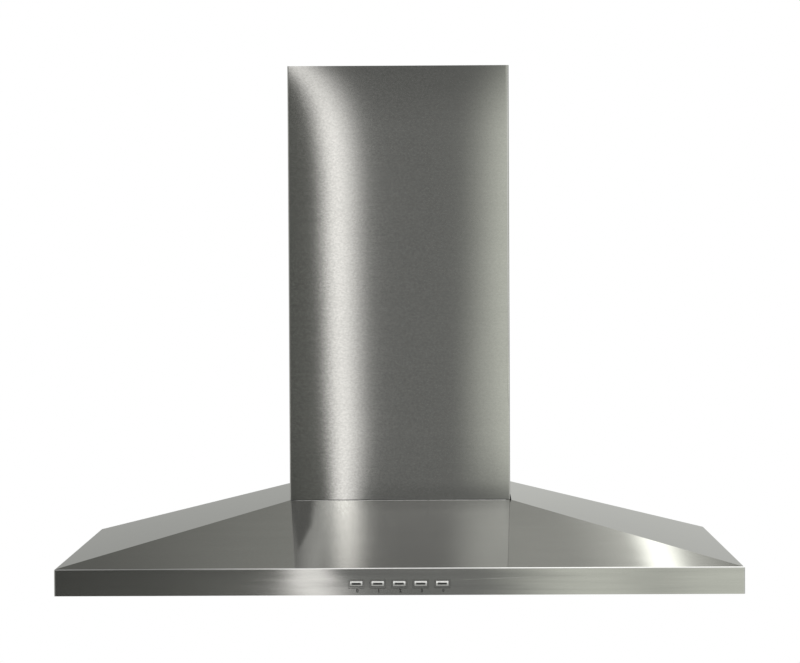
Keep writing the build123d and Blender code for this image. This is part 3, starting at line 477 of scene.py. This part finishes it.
def glass(name, colour, roughness, thin):
    made, tree, shader, place = start_material(name)
    frost = tree.noise(place, scale=1200.0, detail=2.0)
    base = tree.mix(tree.vary(frost, 0.0, 1.0), [c * 0.97 for c in colour], colour)
    finish_material(tree, shader, base, tree.vary(frost, roughness * 0.8, roughness * 1.2),
                    tree.bump(frost, strength=0.2, distance=0.00003))
    shader.inputs["Transmission Weight"].default_value = thin
    shader.inputs["IOR"].default_value = 1.45
    return made


def laminated():
    """A stack of sheets 0.5 mm thick across X, with a little rust."""
    made, tree, shader, place = start_material("stacked_laminations")
    x = tree.xyz(place)[0]
    sheets = tree.absolute(tree.math("SINE", tree.times(x, SHEETS_X)))
    rust = tree.noise(place, scale=80.0, detail=4.0)
    shade = tree.span(sheets, 0.0, 1.0, 0.55, 1.0)
    base = tree.mix(tree.span(rust, 0.45, 0.75, 0.0, 0.35), (0.23, 0.23, 0.235), (0.24, 0.17, 0.12))
    base = tree.mix(1.0, base, tree.combine(shade, shade, shade), blend="MULTIPLY")
    relief = tree.bump(sheets, strength=0.4, distance=0.0001)
    finish_material(tree, shader, base, 0.48, relief)
    shader.inputs["Metallic"].default_value = 0.8
    return made


# on a push button, from its middle: the edges of its slot, of the painted shade along its foot, at
# its ends and over its lower half, and its halves
SLOT_BOTTOM, SLOT_TOP, SLOT_END = (-0.00115, -0.00095), (0.00135, 0.00185), (0.0062, 0.0058)
PAINTED_SHADE_FOOT, PAINTED_SHADE_ENDS, PAINTED_SHADE_HALF = (-0.00215, -0.00285), (0.0078, 0.0084), (0.0, -0.0010)
UPPER_HALF, LOWER_HALF = (0.0002, 0.0014), (-0.0002, -0.0030)
UPPER_TURN, LOWER_TURN = 0.92, -0.07


def push_button():
    """Metallised push buttons: a steep upper half and a nearly upright lower half, with painted
    shade round the slot, along the foot, at the two ends and, fainter, over the lower half."""
    made, tree, shader, place = start_material("metallised_button")
    x, _, z = tree.xyz(place)
    texture = tree.noise(place, scale=1400.0, detail=2.0)
    # distances from the middle of the nearest button
    across = tree.math("PINGPONG", x, BUTTON_PITCH / 2)
    above = tree.minus(z, BUTTON_LEVEL)
    # painted shade: darker round the slot, along the foot, at both ends and a little over the lower
    # half
    slot = tree.times(tree.window(above, SLOT_BOTTOM, SLOT_TOP), tree.step(across, *SLOT_END))
    foot = tree.larger(tree.step(above, *PAINTED_SHADE_FOOT), tree.step(across, *PAINTED_SHADE_ENDS))
    button_painted_shade = tree.larger(slot, tree.times(foot, 0.85))
    button_painted_shade = tree.larger(button_painted_shade, tree.times(tree.step(above, *PAINTED_SHADE_HALF), 0.20))
    shade = tree.times(tree.vary(texture, 0.97, 1.03), tree.dimmed(button_painted_shade, 0.10))

    upper = tree.times(tree.step(above, *UPPER_HALF), UPPER_TURN)
    lower = tree.times(tree.step(above, *LOWER_HALF), LOWER_TURN)
    normal = tree.node("ShaderNodeNewGeometry").outputs["Normal"]
    normal = tree.turned(normal, tree.combine(0.0, 0.0, tree.plus(upper, lower)))
    finish_material(tree, shader, tree.tinted(shade, (0.62, 0.62, 0.60)),
                    tree.vary(texture, 0.22, 0.27),
                    tree.bump(texture, strength=0.2, distance=0.00002, normal=normal))
    shader.inputs["Metallic"].default_value = 0.6
    return made


looks = {
    "canopy": brushed("brushed_steel_canopy", 0.11, mottle=0.012, streaks=0.045, waves=0.006,
                      slope_roughness=0.075, lean=canopy_waves, film_and_painted_shade=slope_painted_reflection),
    "flue": brushed("brushed_steel_flue", 0.085, mottle=0.085, ripple=0.0006,
                    lean=flue_bow, film_and_painted_shade=flue_painted_shade, calm=flue_calm),
    "liner": brushed("brushed_steel_liner", 0.15, mottle=0.03, upright=False, streaks=0.05),
    "galvanised": galvanised(),
    "screw_steel": plain_metal("zinc_plated_steel", (0.62, 0.62, 0.61), 0.32, (500, 500, 500)),
    "button": push_button(),
    "black_plastic": moulded("black_moulded_plastic", (0.028, 0.028, 0.030), 0.45),
    "white_plastic": moulded("white_moulded_plastic", (0.74, 0.74, 0.71), 0.40),
    "grey_plastic": moulded("grey_moulded_plastic", (0.24, 0.25, 0.26), 0.48),
    "aluminium": plain_metal("mill_aluminium", (0.72, 0.73, 0.74), 0.36, (25, 900, 900)),
    "mesh": expanded_sheet(),
    "strand": plain_metal("expanded_strands", (0.70, 0.71, 0.72), 0.30, (200, 200, 200)),
    "bezel": plain_metal("plated_ring", (0.76, 0.76, 0.77), 0.16, (300, 300, 300), depth=0.00001),
    "lens": glass("frosted_glass", (0.92, 0.93, 0.93), 0.35, 0.75),
    "bulb": glass("bulb_glass", (0.95, 0.94, 0.90), 0.12, 0.85),
    "motor_steel": moulded("painted_motor_shell", (0.16, 0.16, 0.17), 0.38, grit=700.0, coat=0.15),
    "laminations": laminated(),
    "bearing": plain_metal("sintered_bronze", (0.62, 0.47, 0.25), 0.45, (1500, 1500, 1500),
                           depth=0.00006),
    "rubber": moulded("soft_rubber", (0.035, 0.035, 0.035), 0.7, grit=1200.0),
    "lead": moulded("flexible_sheath", (0.045, 0.045, 0.047), 0.55, grit=600.0),
}
window_look = moulded("button_window", (0.016, 0.016, 0.015), 0.35, grit=2000.0, depth=0.00001)
ink = moulded("dark_ink", (0.022, 0.022, 0.020), 0.5, grit=2500.0, depth=0.00001)
# painted shadow in the gaps round the buttons, as thin dark rings
painted_gap_shadow_look = moulded("painted_button_gap_shadow", (0.03, 0.03, 0.03), 0.5, grit=2000.0, depth=0.00001)
gap_look = moulded("shadow_gap", (0.03, 0.03, 0.03), 0.6)
trim_look = plain_metal("folded_edge", (0.66, 0.658, 0.64), 0.22, (30, 30, 900), depth=0.00001)

slot_of = {part["node"]: part["material_slot"] for part in frame["record"]["subparts"]}
own_look = {
    "canopy_shell": "canopy",
    "lower_chimney": "flue",
    "upper_chimney": "flue",
    "liner_panel": "liner",
}


def dress(obj, look):
    obj.data.materials.clear()
    obj.data.materials.append(look)


for name, obj in nodes_by_name.items():
    dress(obj, looks[own_look.get(name) or slot_of[name]])


# ------------------------------------------------------------------ mesh helpers
def piece(name, verts, faces, look, body, smooth=False):
    """A piece of the visual model that moves with a body and has a material slot."""
    mesh = bpy.data.meshes.new(name)
    mesh.from_pydata(verts, [], faces)
    mesh.validate()
    bm = bmesh.new()
    bm.from_mesh(mesh)
    bmesh.ops.recalc_face_normals(bm, faces=bm.faces)
    bm.to_mesh(mesh)
    bm.free()
    for p in mesh.polygons:
        p.use_smooth = smooth
    obj = bpy.data.objects.new(name, mesh)
    bpy.context.scene.collection.objects.link(obj)
    dress(obj, look)
    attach(obj, body)
    return obj


BOX_FACES = ((0, 1, 3, 2), (4, 6, 7, 5), (0, 4, 5, 1), (1, 5, 7, 3), (3, 7, 6, 2), (2, 6, 4, 0))


def boxes(corners):
    """Vertices and faces of boxes given as (low corner, high corner)."""
    verts, faces = [], []
    for (x0, y0, z0), (x1, y1, z1) in corners:
        n = len(verts)
        verts += [(x, y, z) for z in (z0, z1) for y in (y0, y1) for x in (x0, x1)]
        faces += [tuple(n + i for i in f) for f in BOX_FACES]
    return verts, faces


CORNERS = ((1, 1, 0), (-1, 1, 90), (-1, -1, 180), (1, -1, 270))
CORNER_POINTS = 4
LOOP_POINTS = len(CORNERS) * CORNER_POINTS


def rounded_loop(half_width, half_height, inset, radius):
    """Points (x, z, side) round a rectangle, where side is 1 in the upper half and -1 below.
    The corners turn about points that lie the inset inside the rectangle."""
    points = []
    for sx, sz, start in CORNERS:
        for k in range(CORNER_POINTS):
            a = math.radians(start + 30 * k)
            x = sx * (half_width - inset) + radius * math.cos(a)
            z = sz * (half_height - inset) + radius * math.sin(a)
            points.append((x, z, sz))
    return points


def tube_faces(start, loops, count):
    """Quads between each closed loop of points and the next."""
    faces = []
    for ring in range(loops - 1):
        for k in range(count):
            a, b = start + ring * count + k, start + ring * count + (k + 1) % count
            faces.append((a, b, b + count, a + count))
    return faces


def button_face(name):
    """The middle of a button in X and Z, its half sizes and its front."""
    low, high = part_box(name)
    middle = (low.x + high.x) / 2, (low.z + high.z) / 2
    return middle, ((high.x - low.x) / 2, (high.z - low.z) / 2), low.y


# ------------------------------------------------------------------ buttons and their signs
# dark windows in the slots of the buttons, as loops of (inset, depth behind the face)
SLOT_HALF, SLOT_RISE, SLOT_PLAY = 0.0056, 0.00095, 0.00002
WINDOW_RADIUS = 0.0004
WINDOW_LOOPS = ((0.0, 0.00088), (0.0, 0.00022), (0.00012, 0.00012))
for name in BUTTONS:
    (x, z), _, front = button_face(name)
    verts = []
    for inset, depth in WINDOW_LOOPS:
        w, h = SLOT_HALF - SLOT_PLAY - inset, SLOT_RISE - SLOT_PLAY - inset
        for dx, dz, _ in rounded_loop(w, h, WINDOW_RADIUS, WINDOW_RADIUS):
            verts.append((x + dx, front + depth, z + dz))
    faces = tube_faces(0, len(WINDOW_LOOPS), LOOP_POINTS)
    faces.append(tuple(range(2 * LOOP_POINTS, 3 * LOOP_POINTS)))
    faces.append(tuple(range(LOOP_POINTS - 1, -1, -1)))
    piece(name + "_window", verts, faces, window_look, name + "_key")

# painted shadow: thin dark rings round the buttons on the face of the band, where the gaps round
# them lie in shade, wider below; as loops of (growth, height)
SHADOW_RING_PLAY, SHADOW_RING_RADIUS = 0.00012, 0.0007
SHADOW_RING_LOOPS = ((0.0, 0.0), (0.0, 0.00022), (0.00032, 0.00022), (0.00042, 0.0))
SHADOW_RING_SINK_ABOVE, SHADOW_RING_SINK_BELOW = 0.75, 0.5
verts, faces = [], []
for name in BUTTONS:
    (x, z), (w, h), _ = button_face(name)
    faces += tube_faces(len(verts), len(SHADOW_RING_LOOPS), LOOP_POINTS)
    w, h = w + SHADOW_RING_PLAY, h + SHADOW_RING_PLAY
    for grow, out in SHADOW_RING_LOOPS:
        for dx, dz, side in rounded_loop(w, h, SHADOW_RING_RADIUS, SHADOW_RING_RADIUS + grow):
            sink = (SHADOW_RING_SINK_ABOVE if side > 0 else SHADOW_RING_SINK_BELOW) * grow
            verts.append((x + dx, BAND_FRONT - out, z + dz - sink))
piece("painted_button_gap_shadows", verts, faces, painted_gap_shadow_look, "hood")

# signs printed on the band: digits, and a generic lamp sign of a round bulb and two foot lines
LABEL_LEVEL, LABEL_HEIGHT, LABEL_SHIFT = 0.0057, 0.0043, 0.0014
DIGIT_SHARE = 0.72  # the height of a digit in a font of size 1
DIGIT_DEPTH, DIGIT_BOLD, DIGIT_OUT = 0.00003, 0.00031, 0.00004
INK_OUT, INK_IN = 0.00007, 0.00002
BULB_RADII, BULB_RISE, BULB_SIDES = (0.00150, 0.00070), 0.0006, 28
FOOT_LINES = ((0.00085, 0.00135, 0.00080), (0.00060, 0.00215, 0.00160))


def digit(text, x):
    """A digit on the front of the band, with its middle at x."""
    curve = bpy.data.curves.new("sign_" + text, "FONT")
    curve.body = text
    curve.size = LABEL_HEIGHT / DIGIT_SHARE
    curve.align_x = "CENTER"
    curve.align_y = "CENTER"
    curve.extrude = DIGIT_DEPTH
    curve.offset = DIGIT_BOLD
    made = bpy.data.objects.new("sign_" + text, curve)
    bpy.context.scene.collection.objects.link(made)
    place = Matrix.Translation((x, BAND_FRONT - DIGIT_OUT, LABEL_LEVEL))
    made.matrix_world = place @ Matrix.Rotation(math.radians(90), 4, "X")
    made.data.materials.append(ink)
    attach(made, "hood")


def lamp_sign(x):
    """A flat ring for the bulb and two short bars under it, with their middle at x."""
    verts = []
    for radius in BULB_RADII:
        for k in range(BULB_SIDES):
            a = 2 * math.pi * k / BULB_SIDES
            z = LABEL_LEVEL + BULB_RISE + radius * math.sin(a)
            verts.append((x + radius * math.cos(a), BAND_FRONT - INK_OUT, z))
    faces = tube_faces(0, len(BULB_RADII), BULB_SIDES)
    front, back = BAND_FRONT - INK_OUT, BAND_FRONT - INK_IN
    bars, quads = boxes([
        ((x - half, front, LABEL_LEVEL - low), (x + half, back, LABEL_LEVEL - high))
        for half, low, high in FOOT_LINES
    ])
    faces += [tuple(len(verts) + i for i in q) for q in quads]
    piece("sign_lamp", verts + bars, faces, ink, "hood")


for name, text in zip(BUTTONS, ("0", "1", "2", "3", "")):
    middle = button_face(name)[0][0] + LABEL_SHIFT
    if text:
        digit(text, middle)
    else:
        lamp_sign(middle)


# ------------------------------------------------------------------ flue cover foot
# the shadow gap under the flue cover, on its front and its two sides
GAP, GAP_OUT, GAP_IN = 0.0008, 0.00008, 0.0002
FRONT_END, SIDE_END = 0.001, 0.002
gap_top = CANOPY_TOP + GAP
verts, faces = boxes([
    ((-FLUE_HALF + FRONT_END, FLUE_FRONT - GAP_OUT, CANOPY_TOP),
     (FLUE_HALF - FRONT_END, FLUE_FRONT + GAP_IN, gap_top)),
    ((-FLUE_HALF - GAP_OUT, FLUE_FRONT + SIDE_END, CANOPY_TOP),
     (-FLUE_HALF + GAP_IN, -SIDE_END, gap_top)),
    ((FLUE_HALF - GAP_IN, FLUE_FRONT + SIDE_END, CANOPY_TOP),
     (FLUE_HALF + GAP_OUT, -SIDE_END, gap_top)),
])
piece("flue_foot_gap", verts, faces, gap_look, "hood")

# a round weld bead along the canopy's edge in front of the foot
BEADS, BEAD_SIDES, BEAD_END = 60, 10, 0.002
BEAD_RADIUS, BEAD_SPREAD, BEAD_TIP = 0.00085, 0.00006, 0.0003
BEAD_FRONT, BEAD_LEVEL = FLUE_FRONT - 0.0009, CANOPY_TOP - 0.0008
verts = []
for i in range(BEADS + 1):
    x = (-FLUE_HALF + BEAD_END) + (2 * FLUE_HALF - 2 * BEAD_END) * i / BEADS
    radius = BEAD_RADIUS + BEAD_SPREAD * random.random()
    if i in (0, BEADS):
        radius = BEAD_TIP
    for k in range(BEAD_SIDES):
        a = math.tau * k / BEAD_SIDES
        verts.append((x, BEAD_FRONT + radius * math.cos(a), BEAD_LEVEL + radius * math.sin(a)))
faces = tube_faces(0, BEADS + 1, BEAD_SIDES)
faces.append(tuple(range(BEAD_SIDES)))
faces.append(tuple(BEADS * BEAD_SIDES + k for k in range(BEAD_SIDES)))
piece("flue_foot_bead", verts, faces, trim_look, "hood", smooth=True)

# painted shadow: a dark sliver at the flue cover's right corner, standing on the canopy where the
# corner lies in shade
CORNER_SHADOW_OUTLINE = [(0.0, -0.0020), (0.0018, -0.0022), (0.0014, 0.0006), (0.0006, 0.0045), (0.0, 0.0075)]
CORNER_SHADOW_DEPTHS, CORNER_SHADOW_PLAY = (0.0002, 0.0060), 0.0001
CORNER_SHADOW_ROUNDING, CORNER_SHADOW_SEGMENTS, CORNER_SHADOW_ANGLE = 0.0002, 2, math.radians(30.0)
verts = [
    (FLUE_HALF + CORNER_SHADOW_PLAY + dx, FLUE_FRONT + dy, CANOPY_TOP + dz)
    for dy in CORNER_SHADOW_DEPTHS for dx, dz in CORNER_SHADOW_OUTLINE
]
faces = [(0, 1, 2, 3, 4), (9, 8, 7, 6, 5)] + tube_faces(0, 2, len(CORNER_SHADOW_OUTLINE))
corner_shadow = piece("flue_corner_painted_shadow", verts, faces, gap_look, "hood")
rounded = corner_shadow.modifiers.new("rounded", "BEVEL")
rounded.width, rounded.segments = CORNER_SHADOW_ROUNDING, CORNER_SHADOW_SEGMENTS
rounded.limit_method = "ANGLE"
rounded.angle_limit = CORNER_SHADOW_ANGLE


# ------------------------------------------------------------------ expanded mesh of the filters
PITCH_X, PITCH_Y = 0.0125, 0.0066
HALF_STRAND, STRAND_LIFT, STRAND_THICKNESS = 0.00042, 0.0007, 0.00025
BELOW_MESH, ABOVE_MESH = 0.00085, 0.0001


def lattice(name, node, level, body):
    """One expanded layer inside the filter's frame: diamonds of thin strands."""
    low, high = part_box(node)
    columns = int((high.x - low.x) / PITCH_X)
    rows = int((high.y - low.y) / PITCH_Y)
    step_x, step_y = (high.x - low.x) / columns, (high.y - low.y) / rows
    verts, faces = [], []

    def strand(ax, ay, bx, by):
        length = math.hypot(bx - ax, by - ay)
        nx, ny = -(by - ay) / length * HALF_STRAND, (bx - ax) / length * HALF_STRAND
        n = len(verts)
        verts.extend([
            (ax + nx, ay + ny, level), (ax - nx, ay - ny, level + STRAND_LIFT * 0.25),
            (bx - nx, by - ny, level + STRAND_LIFT), (bx + nx, by + ny, level + STRAND_LIFT * 0.75),
        ])
        faces.append((n, n + 1, n + 2, n + 3))

    for i in range(columns):
        for j in range(rows):
            x0, y0 = low.x + i * step_x, low.y + j * step_y
            xm, ym = x0 + step_x / 2, y0 + step_y / 2
            strand(x0, ym, xm, y0 + step_y)
            strand(xm, y0, x0, ym)
            strand(xm, y0 + step_y, x0 + step_x, ym)
            strand(x0 + step_x, ym, xm, y0)
    obj = piece(name, verts, faces, looks["strand"], body)
    obj.modifiers.new("strand_thickness", "SOLIDIFY").thickness = STRAND_THICKNESS


for i in (1, 2, 3):
    low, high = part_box(f"filter_mesh_{i}")
    lattice(f"filter_strands_lower_{i}", f"filter_mesh_{i}", low.z - BELOW_MESH, f"filter_{i}")
    lattice(f"filter_strands_upper_{i}", f"filter_mesh_{i}", high.z + ABOVE_MESH, f"filter_{i}")


# ------------------------------------------------------------------ studio floor
# it keeps the object's shadow, turns to plain white towards its rim and is clear from below
FLOOR_MIDDLE, FLOOR_LEVEL, FLOOR_RADIUS, FLOOR_SIDES = -0.25, -0.74, 1.75, 96
FADE_START, FADE_END = 0.7, 1.7
floor_made, tree, shader, place = start_material("pale_floor")
x, y, _ = tree.xyz(place)
from_middle = tree.minus(y, FLOOR_MIDDLE)
away = tree.math("SQRT", tree.plus(tree.times(x, x), tree.times(from_middle, from_middle)))
fade = tree.step(away, FADE_START, FADE_END)
shader.inputs["Base Color"].default_value = (0.93, 0.93, 0.93, 1.0)
shader.inputs["Roughness"].default_value = 0.9
shader.inputs["Specular IOR Level"].default_value = 0.0
glow = tree.node("ShaderNodeEmission")
glow.inputs["Strength"].default_value = 1.0
clear = tree.node("ShaderNodeBsdfTransparent")


def seen_rays(tree):
    """1 for rays from the camera, from mirrors and through glass, and the camera's rays alone."""
    path = tree.node("ShaderNodeLightPath").outputs
    mirror = tree.math("ADD", path["Is Glossy Ray"], path["Is Transmission Ray"], clamp=True)
    return tree.math("ADD", path["Is Camera Ray"], mirror, clamp=True), path["Is Camera Ray"]


over = tree.node("ShaderNodeMixShader")
tree.put(over.inputs[0], tree.times(seen_rays(tree)[0], fade))
tree.links.new(shader.outputs[0], over.inputs[1])
tree.links.new(glow.outputs[0], over.inputs[2])
under = tree.node("ShaderNodeMixShader")
tree.put(under.inputs[0], tree.node("ShaderNodeNewGeometry").outputs["Backfacing"])
tree.links.new(over.outputs[0], under.inputs[1])
tree.links.new(clear.outputs[0], under.inputs[2])
tree.links.new(under.outputs[0], floor_made.node_tree.nodes["Material Output"].inputs[0])

mesh = bpy.data.meshes.new("studio_floor")
angles = [math.tau * k / FLOOR_SIDES for k in range(FLOOR_SIDES)]
rim = [
    (FLOOR_RADIUS * math.cos(a), FLOOR_MIDDLE + FLOOR_RADIUS * math.sin(a), FLOOR_LEVEL)
    for a in angles
]
mesh.from_pydata(rim, [], [tuple(range(FLOOR_SIDES))])
floor = bpy.data.objects.new("studio_floor", mesh)
bpy.context.scene.collection.objects.link(floor)
floor.data.materials.append(floor_made)
floor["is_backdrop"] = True

# ------------------------------------------------------------------ world
world = bpy.data.worlds.new("studio")
bpy.context.scene.world = world
world.use_nodes = True
tree = Tree(world.node_tree)
background = world.node_tree.nodes["Background"]
ray = tree.node("ShaderNodeTexCoord").outputs["Generated"]
dx, dy, dz = tree.xyz(ray)
front = tree.times(dy, -1.0)
DEGREES = 180 / math.pi
# in degrees: azimuth is 0 in front of the hood, bearing is 0 behind it, both grow to the right
azimuth = tree.times(tree.math("ARCTAN2", dx, front), DEGREES)
bearing = tree.times(tree.math("ARCTAN2", dx, dy), DEGREES)
height = tree.times(tree.math("ARCSINE", dz), DEGREES)
# tilt runs from 0 straight in front over 90 overhead to 180 straight behind
tilt = tree.times(tree.math("ARCTAN2", dz, front), DEGREES)


def grey(value, tint=(1.0, 1.0, 1.0)):
    return tuple(value * t for t in tint)


def edge(value, start, end, strength):
    """The light changes by the strength at a soft edge."""
    return tree.times(tree.step(value, start, end), strength)


def band(value, rise, fall, strength):
    """A lamp or wall seen between two soft edges."""
    return tree.times(tree.window(value, rise, fall), strength)


def colours(first, *others):
    """The sum of lights, each given as (strength, tint)."""
    total = tree.tinted(*first)
    for light in others:
        total = tree.vector("ADD", total, tree.tinted(*light))
    return total


# tints of the lamps, the walls and the room
LAMP, FILL = (1.02, 1.0, 0.985), (1.0, 1.0, 1.06)
ROOM, WALL, CEILING = (0.98, 1.0, 0.93), (0.97, 1.0, 0.885), (0.99, 1.0, 0.94)
HIGH_ROOM, HIGH_WALL, AROUND = (0.995, 1.0, 0.995), (0.98, 1.0, 0.96), (0.99, 1.0, 0.96)

# level with the hood in front: a dim room, one narrow strip lamp and a pale wall to the right
room = tree.span(azimuth, -8.2, -4.2, 0.0685, 0.141)
fill = edge(azimuth, -3.0, -1.8, 0.055)
strip = band(azimuth, (-3.50, -2.33), (-2.84, -1.27), 1.60)
wall = tree.plus(
    edge(azimuth, 1.06, 3.49, 0.555),
    band(azimuth, (4.0, 5.1), (5.1, 6.2), -0.185),
)
near = colours((room, ROOM), (fill, FILL), (strip, LAMP), (wall, WALL))

# higher up in front: the same lamp and wall, nearer to the ceiling light
room = tree.plus(
    tree.span(azimuth, -6.6, -5.5, 0.24, 0.80),
    edge(azimuth, -3.4, -1.8, -0.41),
    edge(azimuth, -8.6, -10.5, 0.40),
)
strip = band(azimuth, (-4.22, -3.36), (-3.48, -2.02), 1.55)
wall = edge(azimuth, 0.75, 3.5, 0.52)
high = colours((room, HIGH_ROOM), (strip, LAMP), (wall, HIGH_WALL))
up = tree.step(tilt, 18, 34)
near_front = tree.mix(up, near, high)

# the rest of the room at level height, as (azimuth, brightness): pale behind the hood, soft boxes
# and darker gaps at the sides
around = (
    (-180, 0.80), (-171, 0.655), (-150, 0.66), (-132, 0.45), (-108, 0.26), (-96, 0.62),
    (-80, 0.80), (-68, 0.42), (-56, 0.26), (-47, 0.62), (-38, 0.50), (-26, 0.36), (-14, 0.28),
    (14, 0.60), (22, 1.15), (40, 1.10), (50, 0.72), (60, 0.30), (74, 0.28), (84, 0.72),
    (98, 0.84), (110, 0.42), (130, 0.48), (150, 0.90), (171, 0.95), (174.5, 0.94),
    (176.6, 1.03), (180, 0.80),
)
full_turn = tree.span(azimuth, -180, 180, 0, 1)
all_round = tree.ramp(full_turn, [((a + 180) / 360, grey(v, AROUND)) for a, v in around])
inner, outer = tree.span(up, 0, 1, 9.5, 25), tree.span(up, 0, 1, 14, 34)
aside = tree.step(tree.absolute(azimuth), inner, outer)
level_room = tree.mix(aside, near_front, all_round)

# overhead, as (sideways, brightness): a wide soft box, with a dark gap to the left of the middle
soft_box = (
    (-0.6, 0.75), (-0.34, 0.60), (-0.20, 0.14), (-0.11, 0.18), (-0.064, 0.8), (-0.02, 1.7),
    (0.08, 2.3), (0.2, 2.4), (0.45, 0.9), (0.6, 0.6),
)
sideways = tree.span(dx, -0.6, 0.6, 0, 1)
overhead = tree.ramp(sideways, [((x + 0.6) / 1.2, grey(v)) for x, v in soft_box])

# overhead and behind: a grey ceiling with one lamp to the right and a soft box on each side
ceiling = tree.plus(
    tree.span(bearing, -11, -4.5, 0.18, 0.34),
    tree.span(bearing, -4.5, 5.0, 0.0, 0.13),
    edge(bearing, 4.6, 7.0, 0.27),
    band(bearing, (6.8, 7.5), (7.9, 8.6), 1.75),
    edge(bearing, 8.6, 10.4, -0.36),
    band(tree.absolute(bearing), (14, 42), (60, 95), 0.62),
)
ceiling = tree.tinted(ceiling, CEILING)

front_part = tree.mix(tree.step(tilt, 60, 68), level_room, overhead)
back_part = tree.mix(tree.step(tilt, 158, 149), level_room, ceiling)
above = tree.mix(tree.step(tilt, 108, 117), front_part, back_part)
studio = tree.mix(tree.step(height, 20, 30), level_room, above)

# below: the floor, in patches of light and shade
aslant = tree.plus(dx, tree.times(dy, 0.6))
patches = ((0.0, 0.50), (0.35, 0.72), (0.55, 0.56), (0.8, 0.80), (1.0, 0.60))
floor_shade = tree.ramp(tree.span(aslant, -1, 1, 0, 1), [(at, grey(v)) for at, v in patches])
studio = tree.mix(tree.step(height, -22, -40), studio, floor_shade)

# the plain light that falls on the object, a little stronger from above
plain_light = ((0.0, 0.62), (0.5, 0.82), (1.0, 1.05))
plain = tree.ramp(tree.span(dz, -1, 1, 0, 1), [(at, grey(v)) for at, v in plain_light])
seen, camera_ray = seen_rays(tree)
backdrop = tree.mix(camera_ray, studio, (1.0, 1.0, 1.0))
tree.put(background.inputs["Color"], tree.mix(seen, plain, backdrop))
background.inputs["Strength"].default_value = 1.0

# ------------------------------------------------------------------ lamp
LAMP_PLACE, LAMP_TARGET = Vector((-1.6, -2.6, 2.6)), Vector((0, -0.3, 0.3))
LAMP_SIZE, LAMP_POWER = 1.6, 22
lamp_data = bpy.data.lights.new("key_lamp", "AREA")
lamp_data.shape = "RECTANGLE"
lamp_data.size, lamp_data.size_y = LAMP_SIZE, LAMP_SIZE
lamp_data.energy = LAMP_POWER
lamp = bpy.data.objects.new("key_lamp", lamp_data)
bpy.context.scene.collection.objects.link(lamp)
lamp.location = LAMP_PLACE
lamp.rotation_mode = "QUATERNION"
lamp.rotation_quaternion = (LAMP_TARGET - LAMP_PLACE).to_track_quat("-Z", "Y")
lamp.visible_camera = False
lamp.visible_glossy = False

# ------------------------------------------------------------------ camera
# fitted to the outline in the photograph, which is 800 pixels wide
CAMERA_PLACE = (0.0324, -3.8949, 0.4432)
YAW, PITCH, ROLL = math.radians(-0.502), math.radians(-1.683), math.radians(-0.282)
FOCAL_PIXELS, PHOTO_WIDTH, SENSOR_WIDTH = 2616.0, 800, 36.0
look = Vector((math.sin(YAW) * math.cos(PITCH), math.cos(YAW) * math.cos(PITCH), math.sin(PITCH)))
right = Vector((math.cos(YAW), -math.sin(YAW), 0))
above = right.cross(look)
rolled_right = right * math.cos(ROLL) + above * math.sin(ROLL)
rolled_up = above * math.cos(ROLL) - right * math.sin(ROLL)
camera_data = bpy.data.cameras.new("camera")
camera_data.sensor_width = SENSOR_WIDTH
camera_data.sensor_fit = "HORIZONTAL"
camera_data.lens = FOCAL_PIXELS / PHOTO_WIDTH * SENSOR_WIDTH
camera = bpy.data.objects.new("camera", camera_data)
bpy.context.scene.collection.objects.link(camera)
turn = Matrix((rolled_right, rolled_up, -look)).transposed().to_4x4()
camera.matrix_world = Matrix.Translation(CAMERA_PLACE) @ turn
bpy.context.scene.camera = camera

bpy.context.scene.view_settings.view_transform = "Standard"

low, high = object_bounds()
